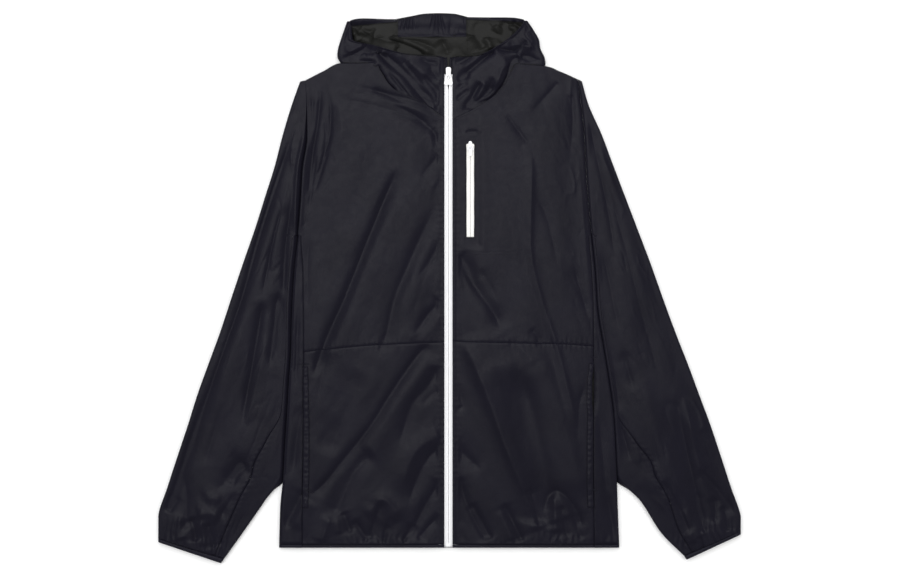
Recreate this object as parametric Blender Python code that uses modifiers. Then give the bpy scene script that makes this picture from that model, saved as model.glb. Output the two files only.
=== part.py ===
"""Hooded windbreaker jacket, zipped up and laid flat on its back.

The wearer's right side is at -X, the hood at +Y and the front faces +Z. The back rests on z = 0 and the
origin is under the middle of the jacket. Every piece of cloth is a wall, built from a grid of points on its
outer face: rows run down the garment and columns go round it, over the front towards the wearer's right,
down the side fold and back across the floor.
"""

import math
from collections import namedtuple

import bmesh
import bpy
from mathutils import Matrix, Vector

# Driving sizes, in millimetres.
MM = 0.001
CLOTH = 1.0  # wall of one layer of cloth
SEAM = 0.3  # gap between pieces that meet
FOLD = 2.5  # radius of a side fold
LAY = 2 * FOLD  # height of the front's outer face over the floor
HOOD_LIFT = 2.0  # how much higher the hood's front lies
TUCK = 2.3  # height of the outer face at the bottom of the wearer's right armhole tuck
WELT_GAP, WELT_PUCKER = 0.5, 0.4
RIM_SHORT = 0.85  # how far each layer stops short of the middle height at the shoulder seam
HEM_BAND = 4.3  # height of the hem binding

ZIP_CENTRE = -1.6
ZIP_HALF = 5.9  # half of the white width that shows
TAPE_HALF = 14.0
TAPE_TOP = LAY - CLOTH - SEAM
TAPE_FOOT = -373.5
COIL_HALF, COIL_HIGH, COIL_END = 2.5, 1.1, 291.5
CHEST_ZIP = {"x": 30.0, "half": 5.4, "top": 208.0, "foot": 73.5, "margin": 16.0}
SLIDER = {"end": 307.0, "width": 11.4, "length": 14.0, "under_half": 4.6}
CHEST_SLIDER = {"width": 9.6, "length": 9.5}
PULL = {"width": 6.6, "length": 15.5}
CHEST_PULL = {"width": 5.4, "length": 13.5}
BAIL_HALF = 0.8  # half width of a slider's bail
BAIL_LEG = (1.05, 1.85)  # where a leg starts and ends off the pull's axis
BAIL_BAR = (1.05, 1.85)  # the bar's underside and top over the pull's axis
BAIL_ROOM = 1.05  # the pull's axis over the slider's plate
BAIL_BACK = 4.0  # the pull's axis behind the slider's end
PLATE = 1.2  # height of a slider's top plate
POST = {"half": 0.6, "back": 7.0, "front": 0.5}
PULL_HALF = 0.5  # half height of a pull tab
PULL_SLOT = 3.1  # where the slot for the bail ends off the axis
PULL_EYE = {"from_end": 2.6, "half_x": 0.9, "half_y": 1.4}
STOP = {"half": 3.2, "from_foot": 0.5, "length": 5.0, "high": 1.6}

WAIST_ROW, HEM_ROW = 8, 14  # rows of the side tables at the waist seam and the hem binding
UNDERARM_ROW = 5
UNDERARM_TOP = UNDERARM_ROW - 0.02  # the armhole's last row, a millimetre above the fork of the folds
RIM_ROWS = 0.09  # how much of the first row the round edge at the shoulder takes
RIM_SLOPE = 30.0  # millimetres of that edge for each row
FOLD_STEPS = 3
STRIP_STEPS = 3  # columns of the back's strips beside the front panels
FRONT_COLUMNS = [k / 17 for k in range(17)] + [0.972, 1.0]  # share of the way from the zip to the side seam
HEM_ROWS = [12.9, 13.2, 13.5, 13.7, 13.85, HEM_ROW]  # closer rows where the elastic gathers the cloth
WELT_ROWS = slice(1, 10)  # rows of the lower front beside the hand pocket

Side = namedtuple("Side", "y edge seam")
Sleeve = namedtuple("Sleeve", "outer_x outer_y inner_x inner_y front_seam back_seam")
Hood = namedtuple("Hood", "edge_x edge_y front_x front_y seam_x seam_y")
Crease = namedtuple("Crease", "x0 y0 x1 y1 bend rise spread")
Place = namedtuple("Place", "x y")
Split = namedtuple("Split", "apart y")

# The body's side, a row for each level: its outer edge, and where the front panel ends.
SIDE_RIGHT = [
    Side(295.0, -208.5, -208.5),
    Side(266.5, -206.0, -206.0),
    Side(219.0, -205.0, -204.5),
    Side(171.5, -211.5, -211.0),
    Side(124.0, -214.5, -213.5),
    Side(75.0, -218.5, -214.5),
    Side(24.5, -224.0, -211.5),
    Side(-33.0, -227.5, -211.0),
    Side(-92.0, -229.0, -211.0),
    Side(-134.0, -232.0, -211.0),
    Side(-178.5, -234.5, -211.0),
    Side(-224.5, -237.5, -211.0),
    Side(-270.5, -240.0, -211.5),
    Side(-317.0, -244.5, -212.5),
    Side(-370.0, -246.0, -212.5),
]
SIDE_LEFT = [
    Side(296.5, 185.5, 185.5),
    Side(266.5, 189.5, 189.5),
    Side(219.0, 194.5, 194.5),
    Side(171.5, 197.0, 197.0),
    Side(124.0, 200.5, 200.5),
    Side(75.0, 204.8, 201.3),
    Side(24.5, 210.0, 205.0),
    Side(-30.0, 213.5, 207.5),
    Side(-83.5, 222.0, 208.0),
    Side(-132.5, 230.0, 208.0),
    Side(-180.0, 236.5, 207.5),
    Side(-226.0, 239.5, 207.0),
    Side(-269.5, 241.5, 207.0),
    Side(-317.0, 243.0, 208.0),
    Side(-370.0, 245.0, 208.5),
]
# The sleeves: outer edge, inner edge, and how far from it the under sleeve's front and back seams lie.
SLEEVE_RIGHT = [
    Sleeve(-215.5, 294.0, -209.0, 295.0, 0.0, 0.0),
    Sleeve(-227.0, 266.5, -206.5, 266.5, 0.0, 0.0),
    Sleeve(-240.5, 222.0, -209.5, 219.0, 0.0, 0.0),
    Sleeve(-252.5, 175.5, -218.0, 171.5, 0.0, 0.0),
    Sleeve(-267.0, 129.5, -221.0, 124.0, 0.0, 0.0),
    Sleeve(-280.5, 86.5, -222.5, 75.0, 4.0, 4.0),
    Sleeve(-296.5, 40.5, -227.5, 24.5, 4.0, 16.0),
    Sleeve(-314.0, -11.5, -231.0, -33.0, 4.0, 26.0),
    Sleeve(-332.0, -66.0, -232.0, -92.0, 4.0, 32.0),
    Sleeve(-348.0, -109.5, -235.0, -134.0, 4.0, 36.0),
    Sleeve(-363.5, -152.5, -237.5, -178.5, 5.0, 38.0),
    Sleeve(-378.0, -198.5, -240.5, -224.5, 29.0, 40.0),
    Sleeve(-392.5, -242.0, -243.0, -270.5, 42.0, 42.0),
    Sleeve(-407.5, -288.0, -267.0, -308.0, 36.0, 38.0),
    Sleeve(-420.5, -331.0, -299.0, -354.0, 24.5, 28.0),
    Sleeve(-420.5, -361.5, -325.0, -390.5, 14.0, 18.0),
]
SLEEVE_LEFT = [
    Sleeve(192.5, 294.0, 186.0, 296.5, 0.0, 0.0),
    Sleeve(200.0, 266.5, 190.0, 266.5, 0.0, 0.0),
    Sleeve(219.5, 222.0, 195.0, 219.0, 0.0, 0.0),
    Sleeve(237.0, 175.5, 197.5, 171.5, 0.0, 0.0),
    Sleeve(254.5, 129.5, 201.0, 124.0, 0.0, 0.0),
    Sleeve(272.0, 83.5, 205.3, 75.0, 4.0, 4.0),
    Sleeve(289.5, 37.5, 210.5, 24.5, 4.0, 16.0),
    Sleeve(308.0, -14.5, 214.0, -30.0, 4.0, 26.0),
    Sleeve(326.0, -63.5, 222.5, -83.5, 4.0, 32.0),
    Sleeve(344.0, -109.5, 230.5, -132.5, 4.0, 36.0),
    Sleeve(361.0, -155.5, 237.0, -180.0, 5.0, 38.0),
    Sleeve(377.0, -198.5, 240.0, -226.0, 31.0, 40.0),
    Sleeve(391.5, -242.0, 242.5, -269.5, 52.0, 42.0),
    Sleeve(406.0, -286.5, 276.0, -308.0, 39.0, 38.0),
    Sleeve(420.5, -331.0, 306.0, -354.0, 25.0, 28.0),
    Sleeve(420.5, -350.5, 338.5, -386.5, 12.0, 16.0),
]
CUFF_RIGHT = Sleeve(-420.5, -366.5, -329.5, -397.1, 0.0, 0.0)
CUFF_LEFT = Sleeve(420.5, -355.5, 342.0, -392.0, 0.0, 0.0)
# The hood's side panels, from the top of the mouth to the neckline: side fold, front edge and crown seam.
HOOD_RIGHT = [
    Hood(-148.0, 384.5, -141.5, 377.0, -75.5, 388.0),
    Hood(-156.5, 360.0, -139.0, 357.5, -75.5, 378.0),
    Hood(-160.3, 348.0, -104.5, 349.0, -75.5, 368.5),
    Hood(-161.5, 342.0, -61.0, 337.5, -75.5, 359.5),
    Hood(-162.0, 338.0, -7.5, 332.5, -75.5, 348.5),
    Hood(-162.0, 335.0, -7.5, 311.0, -75.5, 337.0),
    Hood(-161.5, 332.0, -7.5, 289.5, -75.5, 325.5),
    Hood(-160.0, 329.0, -7.5, 268.0, -75.5, 315.5),
    Hood(-157.5, 325.0, -7.5, 246.5, -75.5, 306.5),
]
HOOD_LEFT = [
    Hood(112.5, 385.5, 104.0, 378.5, 25.0, 391.0),
    Hood(121.5, 372.0, 90.0, 364.5, 25.0, 381.5),
    Hood(129.5, 357.0, 70.0, 350.0, 25.0, 370.0),
    Hood(131.0, 346.0, 39.5, 335.5, 25.0, 360.0),
    Hood(134.0, 339.5, 4.3, 332.5, 25.0, 348.5),
    Hood(137.0, 333.5, 4.3, 311.0, 25.0, 337.0),
    Hood(138.0, 329.5, 4.3, 289.5, 25.0, 325.5),
    Hood(138.5, 325.5, 4.3, 266.5, 25.0, 315.5),
    Hood(138.5, 321.0, 4.3, 244.0, 25.0, 304.5),
]
# The front's top edge, from the zip along the neckline, and from the sixth point along the shoulder.
NECK_RIGHT = [
    Place(-7.5, 246.0),
    Place(-44.0, 270.5),
    Place(-81.5, 288.0),
    Place(-98.5, 311.0),
    Place(-107.5, 324.0),
    Place(-155.0, 324.5),
    Place(-182.0, 313.0),
    Place(-208.0, 299.5),
]
NECK_LEFT = [
    Place(4.3, 243.5),
    Place(44.5, 263.5),
    Place(74.0, 286.0),
    Place(89.5, 313.0),
    Place(97.0, 323.0),
    Place(136.0, 320.5),
    Place(160.5, 312.0),
    Place(185.0, 301.0),
]
SHOULDER_POINT = 5
BACK_TOP = [
    Place(-208.0, 299.5),
    Place(-182.0, 313.0),
    Place(-155.0, 324.0),
    Place(-75.5, 306.0),
    Place(25.0, 304.0),
    Place(136.0, 320.0),
    Place(160.5, 312.0),
    Place(185.0, 301.0),
]
WAIST_RIGHT = [Place(-7.5, -78.0), Place(-108.5, -82.0), Place(-159.0, -86.5), Place(-211.0, -92.0)]
WAIST_LEFT = [Place(4.3, -76.5), Place(85.5, -79.0), Place(157.5, -80.5), Place(208.0, -83.5)]
BRIM = [
    Place(-75.2, 388.5),
    Place(-60.0, 392.5),
    Place(-35.5, 396.2),
    Place(-15.0, 397.0),
    Place(2.0, 396.2),
    Place(24.7, 391.5),
]
# Half of the gap between the zip's tapes, from their top ends to below the slider.
ZIP_SPLIT = [
    Split(4.0, 332.5),
    Split(1.6, 318.0),
    Split(1.2, 306.0),
    Split(1.0, 292.0),
    Split(0.2, 286.0),
    Split(0.2, TAPE_FOOT),
]

# The largest folds: ridges with a positive rise and troughs with a negative one.
CREASES = [
    Crease(-81.5, 157.0, -198.0, -129.5, -9.0, 5.0, 13.0),
    Crease(-15.0, 135.5, -107.5, -103.5, -6.0, 4.5, 12.0),
    Crease(-15.0, 67.5, -49.5, 8.5, 2.0, 2.0, 10.0),
    Crease(-15.0, 191.5, -44.0, 157.0, 0.0, 1.5, 9.0),
    Crease(-15.0, -18.5, -51.0, -66.0, 0.0, 2.5, 10.0),
    Crease(-39.5, -83.5, -198.0, -304.0, 4.0, 5.5, 14.0),
    Crease(-15.0, -112.5, -80.0, -245.0, 6.0, 3.5, 13.0),
    Crease(-15.0, -220.5, -60.0, -273.5, 4.0, 2.5, 11.0),
    Crease(-97.0, -290.5, -119.0, -360.0, 2.0, 4.5, 12.0),
    Crease(-60.0, -100.0, -150.0, -200.0, -8.0, -1.6, 14.0),
    Crease(-209.5, -286.5, -235.5, -350.0, 0.0, 2.5, 8.0),
    Crease(-172.0, 295.0, -205.0, 119.5, -12.0, 2.5, 10.0),
    Crease(-166.5, 290.0, -15.0, 242.0, 6.0, 1.2, 9.0),
    Crease(119.0, 209.0, 121.0, 40.0, 0.0, 2.0, 9.0),
    Crease(121.0, 60.0, 188.0, -213.0, -10.0, 3.5, 12.0),
    Crease(9.5, 46.0, 71.5, -50.5, 5.0, 2.5, 9.0),
    Crease(156.0, 296.5, 116.0, 253.5, 0.0, 1.5, 8.0),
    Crease(178.0, 36.0, 201.0, -43.0, 0.0, 1.5, 8.0),
    Crease(18.0, -72.0, 130.5, -341.5, -8.0, -1.8, 16.0),
    Crease(48.0, -90.0, 160.5, -300.0, -6.0, 4.5, 16.0),
    Crease(120.0, -280.0, 150.0, -362.0, 3.0, 3.5, 12.0),
    Crease(29.5, -300.0, 62.5, -363.0, 0.0, 2.5, 9.0),
    Crease(80.0, -300.0, 100.0, -357.0, 0.0, 2.0, 9.0),
    Crease(212.5, -150.0, 238.5, -354.0, -2.0, 1.5, 8.0),
]
HOOD_CREASES = [
    Crease(-113.0, 345.5, -15.0, 250.5, 6.0, 3.0, 8.0),
    Crease(-163.0, 325.0, -100.0, 341.0, 4.0, 2.0, 7.0),
    Crease(-60.0, 330.0, -20.0, 280.0, 0.0, 1.2, 8.0),
    Crease(98.0, 340.5, 8.0, 246.0, -8.0, 3.0, 8.0),
    Crease(138.0, 330.0, 94.5, 340.0, 0.0, 2.0, 7.0),
    Crease(60.0, 330.0, 20.0, 285.0, 0.0, 1.2, 8.0),
]
SLEEVE_CREASES = [
    Crease(-228.0, 240.5, -404.0, -324.0, 3.0, 2.0, 8.0),
    Crease(-244.0, 120.0, -271.5, -25.0, 2.0, 2.5, 9.0),
    Crease(-268.5, -18.5, -306.0, -225.0, -4.0, 3.0, 10.0),
    Crease(-248.5, -29.0, -262.0, -125.0, 0.0, 1.5, 8.0),
    Crease(-300.0, -60.0, -350.0, -250.0, 3.0, 2.0, 12.0),
    Crease(-280.0, -235.0, -345.0, -345.0, 4.0, 3.5, 13.0),
    Crease(-370.0, -262.0, -392.0, -352.0, 0.0, 2.5, 10.0),
    Crease(226.0, 190.0, 300.0, -60.0, 4.0, 2.0, 10.0),
    Crease(250.0, -70.0, 275.0, -170.0, 0.0, 2.0, 9.0),
    Crease(320.0, -90.0, 365.0, -342.5, -4.0, 3.0, 11.0),
    Crease(359.5, -250.0, 411.0, -335.0, 2.0, 2.5, 9.0),
    Crease(240.0, -180.0, 264.0, -262.0, 0.0, 1.8, 8.0),
    Crease(290.0, -60.0, 325.0, -240.0, 0.0, 2.0, 12.0),
    Crease(300.0, -290.0, 345.0, -368.0, 0.0, 3.0, 12.0),
]
# The hood's lining bulges over the brim facing: a fold across the mouth.
FLAP = {"top": 364.0, "crest": 357.0, "foot": 326.0, "right": -107.0, "left": 37.0, "rise": 3.5, "ease": 25.0}
FACING = {"right": -74.5, "left": 24.0, "below_brim": 5.0, "over_flap": 4.0, "columns": 36, "rise": 1.6}
# Elastic draws the cloth up: how far from the binding and how high.
HEM_GATHER = {"reach": 28.0, "rise": 2.2}
CUFF_GATHER = {"rows": 1.4, "start": 2.6, "rise": 1.8}
# How far a fold takes to rise from flat beside the zips, the seams and the side folds.
EASE = {"zip": 20.0, "side": 14.0, "chest": 18.0, "sleeve": 12.0, "hood": 16.0, "hood_lift": 60.0}


def smooth_step(value):
    value = min(max(value, 0.0), 1.0)
    return value * value * (3 - 2 * value)


def between(a, b, part):
    return a + (b - a) * part


def mix(a, b, part):
    return Place(between(a.x, b.x, part), between(a.y, b.y, part))


def at(rows, position):
    """The table's row at a fractional index, between its two neighbours."""
    low = min(int(position), len(rows) - 2)
    return type(rows[0])(*(between(a, b, position - low) for a, b in zip(rows[low], rows[low + 1])))


def stations(first, last, step):
    count = round((last - first) / step)
    return [between(first, last, k / count) for k in range(count + 1)]


def crease_rise(creases, x, y):
    """Height that the folds add at a place: each is a soft ridge that runs out at its ends."""
    total = 0.0
    for crease in creases:
        run_x, run_y = crease.x1 - crease.x0, crease.y1 - crease.y0
        length = math.hypot(run_x, run_y)
        part = ((x - crease.x0) * run_x + (y - crease.y0) * run_y) / length**2
        if 0 < part < 1:
            aside = ((x - crease.x0) * run_y - (y - crease.y0) * run_x) / length
            aside -= 4 * crease.bend * part * (1 - part)
            total += crease.rise * math.exp(-((aside / crease.spread) ** 2)) * math.sin(math.pi * part) ** 0.6
    return total


def side_distance(x, y):
    """How far a place on the front lies inside the body's edge."""
    table = SIDE_RIGHT if x < 0 else SIDE_LEFT
    for upper, lower in zip(table, table[1:]):
        if upper.y >= y >= lower.y:
            return abs(between(upper.edge, lower.edge, (upper.y - y) / (upper.y - lower.y))) - abs(x)
    return math.inf


def front_height(x, y):
    """Outer face of the front: flat beside the zips and at the sides, with the folds between."""
    calm = smooth_step((abs(x - ZIP_CENTRE) - TAPE_HALF) / EASE["zip"])
    calm *= smooth_step((side_distance(x, y) - FOLD) / EASE["side"])
    chest = CHEST_ZIP["margin"]
    beside = max(abs(x - CHEST_ZIP["x"]), CHEST_ZIP["foot"] - y, y - CHEST_ZIP["top"]) - chest
    return LAY + calm * smooth_step(beside / EASE["chest"]) * crease_rise(CREASES, x, y)


def uneven(index, step, depth):
    """A share from 1 - 2 * depth to 1 that varies from one gather to the next."""
    return 1 - depth + depth * math.sin(step * index)


def rim_drop(down):
    """How far the outer face turns down towards the shoulder seam, as a quarter of a round fold."""
    away = max(1 - down / RIM_ROWS, 0.0)
    return (FOLD - RIM_SHORT) * (1 - math.sqrt(1 - away * away))


def jacket_collection(name, shown):
    collection = bpy.data.collections.new(name)
    bpy.context.scene.collection.children.link(collection)
    collection.hide_render = not shown
    return collection


def material(name, colour, roughness, metallic=0.0):
    made = bpy.data.materials.new(name)
    made.use_nodes = True
    shader = made.node_tree.nodes["Principled BSDF"]
    shader.inputs["Base Color"].default_value = (*colour, 1)
    shader.inputs["Roughness"].default_value = roughness
    shader.inputs["Metallic"].default_value = metallic
    return made


def new_object(name, mesh, look):
    made = bpy.data.objects.new(name, mesh)
    JACKET.objects.link(made)
    made.data.materials.append(look)
    return made


def cloth_wall(name, grid, look, turned=False, closed=False):
    """A piece of cloth through a grid of places on its outer face, None where it is cut away."""
    work = bmesh.new()
    grid = [[None if spot is None else work.verts.new(Vector(spot) * MM) for spot in row] for row in grid]
    for upper, lower in zip(grid, grid[1:]):
        for k in range(len(upper) - (0 if closed else 1)):
            after = (k + 1) % len(upper)
            corners = [upper[k], upper[after], lower[after], lower[k]]
            if None not in corners:
                work.faces.new(corners[::-1] if turned else corners)
    bmesh.ops.delete(work, geom=[vert for vert in work.verts if not vert.link_faces], context="VERTS")
    mesh = bpy.data.meshes.new(name)
    work.to_mesh(mesh)
    work.free()
    mesh.shade_smooth()
    made = new_object(name, mesh, look)
    wall = made.modifiers.new("cloth", "SOLIDIFY")
    wall.thickness = CLOTH * MM
    wall.offset = -1
    return made


def block(name, look, low, high, bevel=0.0, origin=None):
    """A box between two corners, with its origin at its centre or where it turns."""
    low, high = Vector(low) * MM, Vector(high) * MM
    centre = (low + high) / 2
    origin = centre if origin is None else Vector(origin) * MM
    work = bmesh.new()
    place = Matrix.Translation(centre - origin) @ Matrix.Diagonal(high - low).to_4x4()
    bmesh.ops.create_cube(work, size=1, matrix=place)
    mesh = bpy.data.meshes.new(name)
    work.to_mesh(mesh)
    work.free()
    made = new_object(name, mesh, look)
    made.location = origin
    if bevel:
        rounded = made.modifiers.new("edges", "BEVEL")
        rounded.width = bevel * MM
        rounded.segments = 2
    return made


def combine(made, others, operation="UNION"):
    for other in others:
        cut = made.modifiers.new(other.name, "BOOLEAN")
        cut.operation = operation
        cut.object = other
        JACKET.objects.unlink(other)
        CUTTERS.objects.link(other)
        other.hide_render = True
        other.display_type = "WIRE"
    return made


def armhole_middle(side, sleeve, down):
    """Where the seam between body and sleeve runs, halfway between their edges."""
    return (at(side, down).edge + at(sleeve, down).inner_x) / 2


def front_place(neck, waist, side, across, down):
    """A place on the upper front: across runs over the neck table, down over the side table."""
    part, fall = across / (len(neck) - 1), down / WAIST_ROW
    straight = mix(at(neck, across), at(waist, part * (len(waist) - 1)), fall)
    row = at(side, down)
    edge = Place(row.edge if down < UNDERARM_ROW else row.seam, row.y)
    if down == 0:
        edge = neck[-1]
    chord = mix(neck[-1], waist[-1], fall)
    return Place(
        straight.x + (edge.x - chord.x) * smooth_step(part),
        straight.y + (edge.y - chord.y) * part,
    )


def front_upper(name, neck, waist, side, turned, tucked=False):
    """Upper front: neckline and shoulder to the waist seam. A tuck carries it down into the armhole."""
    grid = []
    armhole = stations(0.5, UNDERARM_ROW - 0.5, 0.5) + [UNDERARM_TOP]
    for down in [0, RIM_ROWS / 3, RIM_ROWS] + armhole + stations(UNDERARM_ROW, WAIST_ROW, 0.5):
        line = []
        for across in stations(0, len(neck) - 1, 0.5):
            place = front_place(neck, waist, side, across, down)
            drop = smooth_step(across - SHOULDER_POINT + 1) * rim_drop(down)
            line.append((place.x, place.y, front_height(place.x, place.y) - drop))
        if tucked:
            middle = armhole_middle(SIDE_RIGHT, SLEEVE_RIGHT, down) + SEAM / 2
            line.append((middle, line[-1][1], TUCK) if RIM_ROWS < down < UNDERARM_ROW else None)
        grid.append(line)
    grid[-1] = [spot and (spot[0], spot[1] + SEAM / 2, spot[2]) for spot in grid[-1]]
    return cloth_wall(name, grid, SHELL, turned)


def lower_place(waist, side, part, down):
    """A place on the lower front: part runs from the zip to the side seam, down over the side table."""
    top = at(waist, part * (len(waist) - 1))
    fall = (down - WAIST_ROW) / (HEM_ROW - WAIST_ROW)
    row, hem_y = at(side, down), side[HEM_ROW].y
    side_y = row.y - between(waist[-1].y, hem_y, fall)
    x = between(top.x, between(waist[0].x, row.seam, part), smooth_step(2 * fall))
    return Place(x, between(top.y, hem_y, fall) + side_y * part)


def hem_gather(index, part, y):
    """The elastic hem draws the cloth into gathers: every second column stands up, unevenly."""
    near = smooth_step(1 - (y - SIDE_RIGHT[HEM_ROW].y) / HEM_GATHER["reach"])
    inner = smooth_step(part * 8) * smooth_step((1 - part) * 8)
    return inner * near * HEM_GATHER["rise"] * (uneven(index, 2.3, 0.45) if index % 2 else -0.25)


def front_lower_grid(waist, side):
    grid = []
    for down in stations(WAIST_ROW, 12.5, 0.5) + HEM_ROWS:
        line = []
        for index, part in enumerate(FRONT_COLUMNS):
            place = lower_place(waist, side, part, down)
            high = front_height(place.x, place.y) + hem_gather(index, part, place.y)
            line.append((place.x, place.y, high))
        grid.append(line)
    grid[0] = [(x, y - SEAM / 2, z) for x, y, z in grid[0]]
    return grid


def front_lower(name, waist, side, turned):
    return cloth_wall(name, front_lower_grid(waist, side), SHELL, turned)


def pocket_welt(name, waist, side, turned):
    """The puckered band beside the hand pocket, made from the front's own places moved out."""
    grid = [row[-3:] for row in front_lower_grid(waist, side)[WELT_ROWS]]
    for index, row in enumerate(grid):
        raised = WELT_GAP + CLOTH, WELT_GAP + CLOTH + WELT_PUCKER * (index % 2)
        row[:] = [(x, y, z + raised[k < 2]) for k, (x, y, z) in enumerate(row)]
    return cloth_wall(name, grid, SHELL, turned)


def half_round(edge, inward, y, radius):
    """Places round a side fold, from the floor layer up to the front layer."""
    places = []
    for k in range(FOLD_STEPS + 1):
        angle = math.pi * k / FOLD_STEPS
        places.append((edge + inward * radius * (1 - math.sin(angle)), y, radius * (1 - math.cos(angle))))
    return places


def back_floor(down):
    """The part of one row of the back that lies on the floor."""
    right, left = at(SIDE_RIGHT, down), at(SIDE_LEFT, down)
    if down < UNDERARM_ROW:
        start = armhole_middle(SIDE_RIGHT, SLEEVE_RIGHT, down) + SEAM / 2
        end = armhole_middle(SIDE_LEFT, SLEEVE_LEFT, down) - SEAM / 2
    else:
        start, end = right.edge + FOLD, left.edge - FOLD
    lift = max(1 - down / UNDERARM_ROW, 0.0)
    floor = []
    for across in stations(0, len(BACK_TOP) - 1, 0.5):
        part = across / (len(BACK_TOP) - 1)
        top, chord = at(BACK_TOP, across), mix(BACK_TOP[0], BACK_TOP[-1], part)
        x = between(start, end, part) + (top.x - chord.x) * lift
        y = between(right.y, left.y, part) + (top.y - chord.y) * lift**2
        floor.append((x, y, 0.0) if down else (top.x, top.y, 0.0))
    return floor


def back_line(down):
    """One row of the back: right front strip, right fold, floor, left fold, left front strip."""
    floor = back_floor(down)
    if down < UNDERARM_ROW:
        blank = [None] * (STRIP_STEPS + FOLD_STEPS)
        return blank + floor + blank
    right, left = at(SIDE_RIGHT, down), at(SIDE_LEFT, down)
    line = []
    for k in range(STRIP_STEPS):
        x = between(right.seam - SEAM, right.edge + FOLD, k / STRIP_STEPS)
        line.append((x, right.y, front_height(x, right.y)))
    line += half_round(right.edge, 1, right.y, FOLD)[:0:-1]
    line += floor
    line += half_round(left.edge, -1, left.y, FOLD)[1:]
    for k in range(1, STRIP_STEPS + 1):
        x = between(left.edge - FOLD, left.seam + SEAM, k / STRIP_STEPS)
        line.append((x, left.y, front_height(x, left.y)))
    return line


def shoulder_side(x):
    """1 on the shoulders and 0 along the neck, where the back's top edge stays flat."""
    middle = (BACK_TOP[0].x + BACK_TOP[-1].x) / 2
    return smooth_step((abs(x - middle) - 120) / 25)


def back(name):
    """The back lies on the floor and wraps round both sides to the front's seams."""
    grid = []
    for down in (0, RIM_ROWS / 3, RIM_ROWS):
        row = []
        for spot in back_line(0):
            if spot:
                spot = (spot[0], spot[1] - down * RIM_SLOPE, shoulder_side(spot[0]) * rim_drop(down))
            row.append(spot)
        grid.append(row)
    for down in stations(0.5, UNDERARM_ROW - 0.5, 0.5) + [UNDERARM_TOP]:
        grid.append(back_line(down))
    for down in stations(UNDERARM_ROW, HEM_ROW, 0.5):
        grid.append(back_line(down))
    return cloth_wall(name, grid, SHELL)


def width_of(row):
    return math.hypot(row.inner_x - row.outer_x, row.inner_y - row.outer_y)


def sleeve_spot(row, distance, high):
    """A place on a sleeve's row, at a distance from its outer edge."""
    part = distance / width_of(row)
    return between(row.outer_x, row.inner_x, part), between(row.outer_y, row.inner_y, part), high


def sleeve_top(row, start, end, count, gather, first_index=0):
    """Outer-face places on the sleeve's front layer, from one distance off the outer edge to another."""
    line = []
    for k in range(count + 1):
        distance = between(start, end, k / count)
        x, y, _ = sleeve_spot(row, distance, 0)
        calm = smooth_step((distance - FOLD) / EASE["sleeve"])
        calm *= smooth_step((width_of(row) - distance - FOLD) / EASE["sleeve"])
        index = first_index + k
        drawn = gather * (uneven(index, 1.9, 0.4) if index % 2 else -0.2)
        line.append((x, y, LAY + calm * (crease_rise(SLEEVE_CREASES, x, y) + drawn)))
    return line


def sleeve_floor(row, start, end, count):
    return [sleeve_spot(row, distance, 0.0) for distance in stations(start, end, (end - start) / count)]


def sleeve_fold(row, at_outer):
    """The round fold at the sleeve's outer or inner edge, from the floor up, without its two ends."""
    line = []
    for k in range(1, FOLD_STEPS):
        angle = math.pi * k / FOLD_STEPS
        inset = FOLD * (1 - math.sin(angle))
        distance = inset if at_outer else width_of(row) - inset
        line.append(sleeve_spot(row, distance, FOLD * (1 - math.cos(angle))))
    return line


def cuff_gather(down, table):
    """How strongly the cuff's elastic draws the cloth up at a row."""
    start = len(table) - CUFF_GATHER["start"]
    return CUFF_GATHER["rise"] * smooth_step((down - start) / CUFF_GATHER["rows"])


def sleeve_rows(table):
    last = len(table) - 1
    body = stations(UNDERARM_ROW, last - 2, 0.5)
    return body + [last - 1.6, last - 1.3, last - 1, last - 0.6, last - 0.3, last]


def sleeve_upper(name, table, side, turned, tucked=False):
    """Upper sleeve: from the front seam over the outer fold and across the floor to the back seam."""
    grid = []
    for down in stations(0, UNDERARM_ROW - 0.5, 0.5) + [UNDERARM_TOP] + sleeve_rows(table):
        row = at(table, down)
        width = width_of(row)
        if down < UNDERARM_ROW:
            towards = math.copysign(SEAM / 2, row.outer_x)
            middle = armhole_middle(side, table, down) + towards
            front_end, back_end = width, width + abs(row.inner_x - middle)
        else:
            front_end, back_end = width - row.front_seam - SEAM, width - row.back_seam - SEAM
        line = sleeve_top(row, front_end, FOLD, 10, cuff_gather(down, table))
        line += sleeve_fold(row, True)[::-1]
        line += sleeve_floor(row, FOLD, back_end, 3)
        if tucked:
            line.insert(0, (middle, line[0][1], TUCK) if 0.4 < down < UNDERARM_ROW else None)
        grid.append(line)
    return cloth_wall(name, grid, SHELL, turned)


def sleeve_under(name, table, turned):
    """Under sleeve: a strip round the inner fold, which shows on the front towards the cuff."""
    grid = []
    for down in sleeve_rows(table):
        row = at(table, down)
        width = width_of(row)
        line = sleeve_floor(row, width - row.back_seam, width - FOLD, 2) + sleeve_fold(row, False)
        line += sleeve_top(row, width - FOLD, width - row.front_seam, 3, cuff_gather(down, table), 1)
        grid.append(line)
    return cloth_wall(name, grid, SHELL, turned)


def cuff(name, start, end, turned):
    """The narrow elastic binding, a ring round both layers."""
    grid = []
    gap = SEAM / math.hypot(end.outer_x - start.outer_x, end.outer_y - start.outer_y)
    for part in (gap, 1.0):
        row = at([start, end], part)
        width = width_of(row)
        line = sleeve_top(row, width - FOLD, FOLD, 6, 0)
        line += sleeve_fold(row, True)[::-1]
        line += sleeve_floor(row, FOLD, width - FOLD, 6)
        line += sleeve_fold(row, False)
        grid.append(line)
    return cloth_wall(name, grid, BINDING, turned, closed=True)


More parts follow.
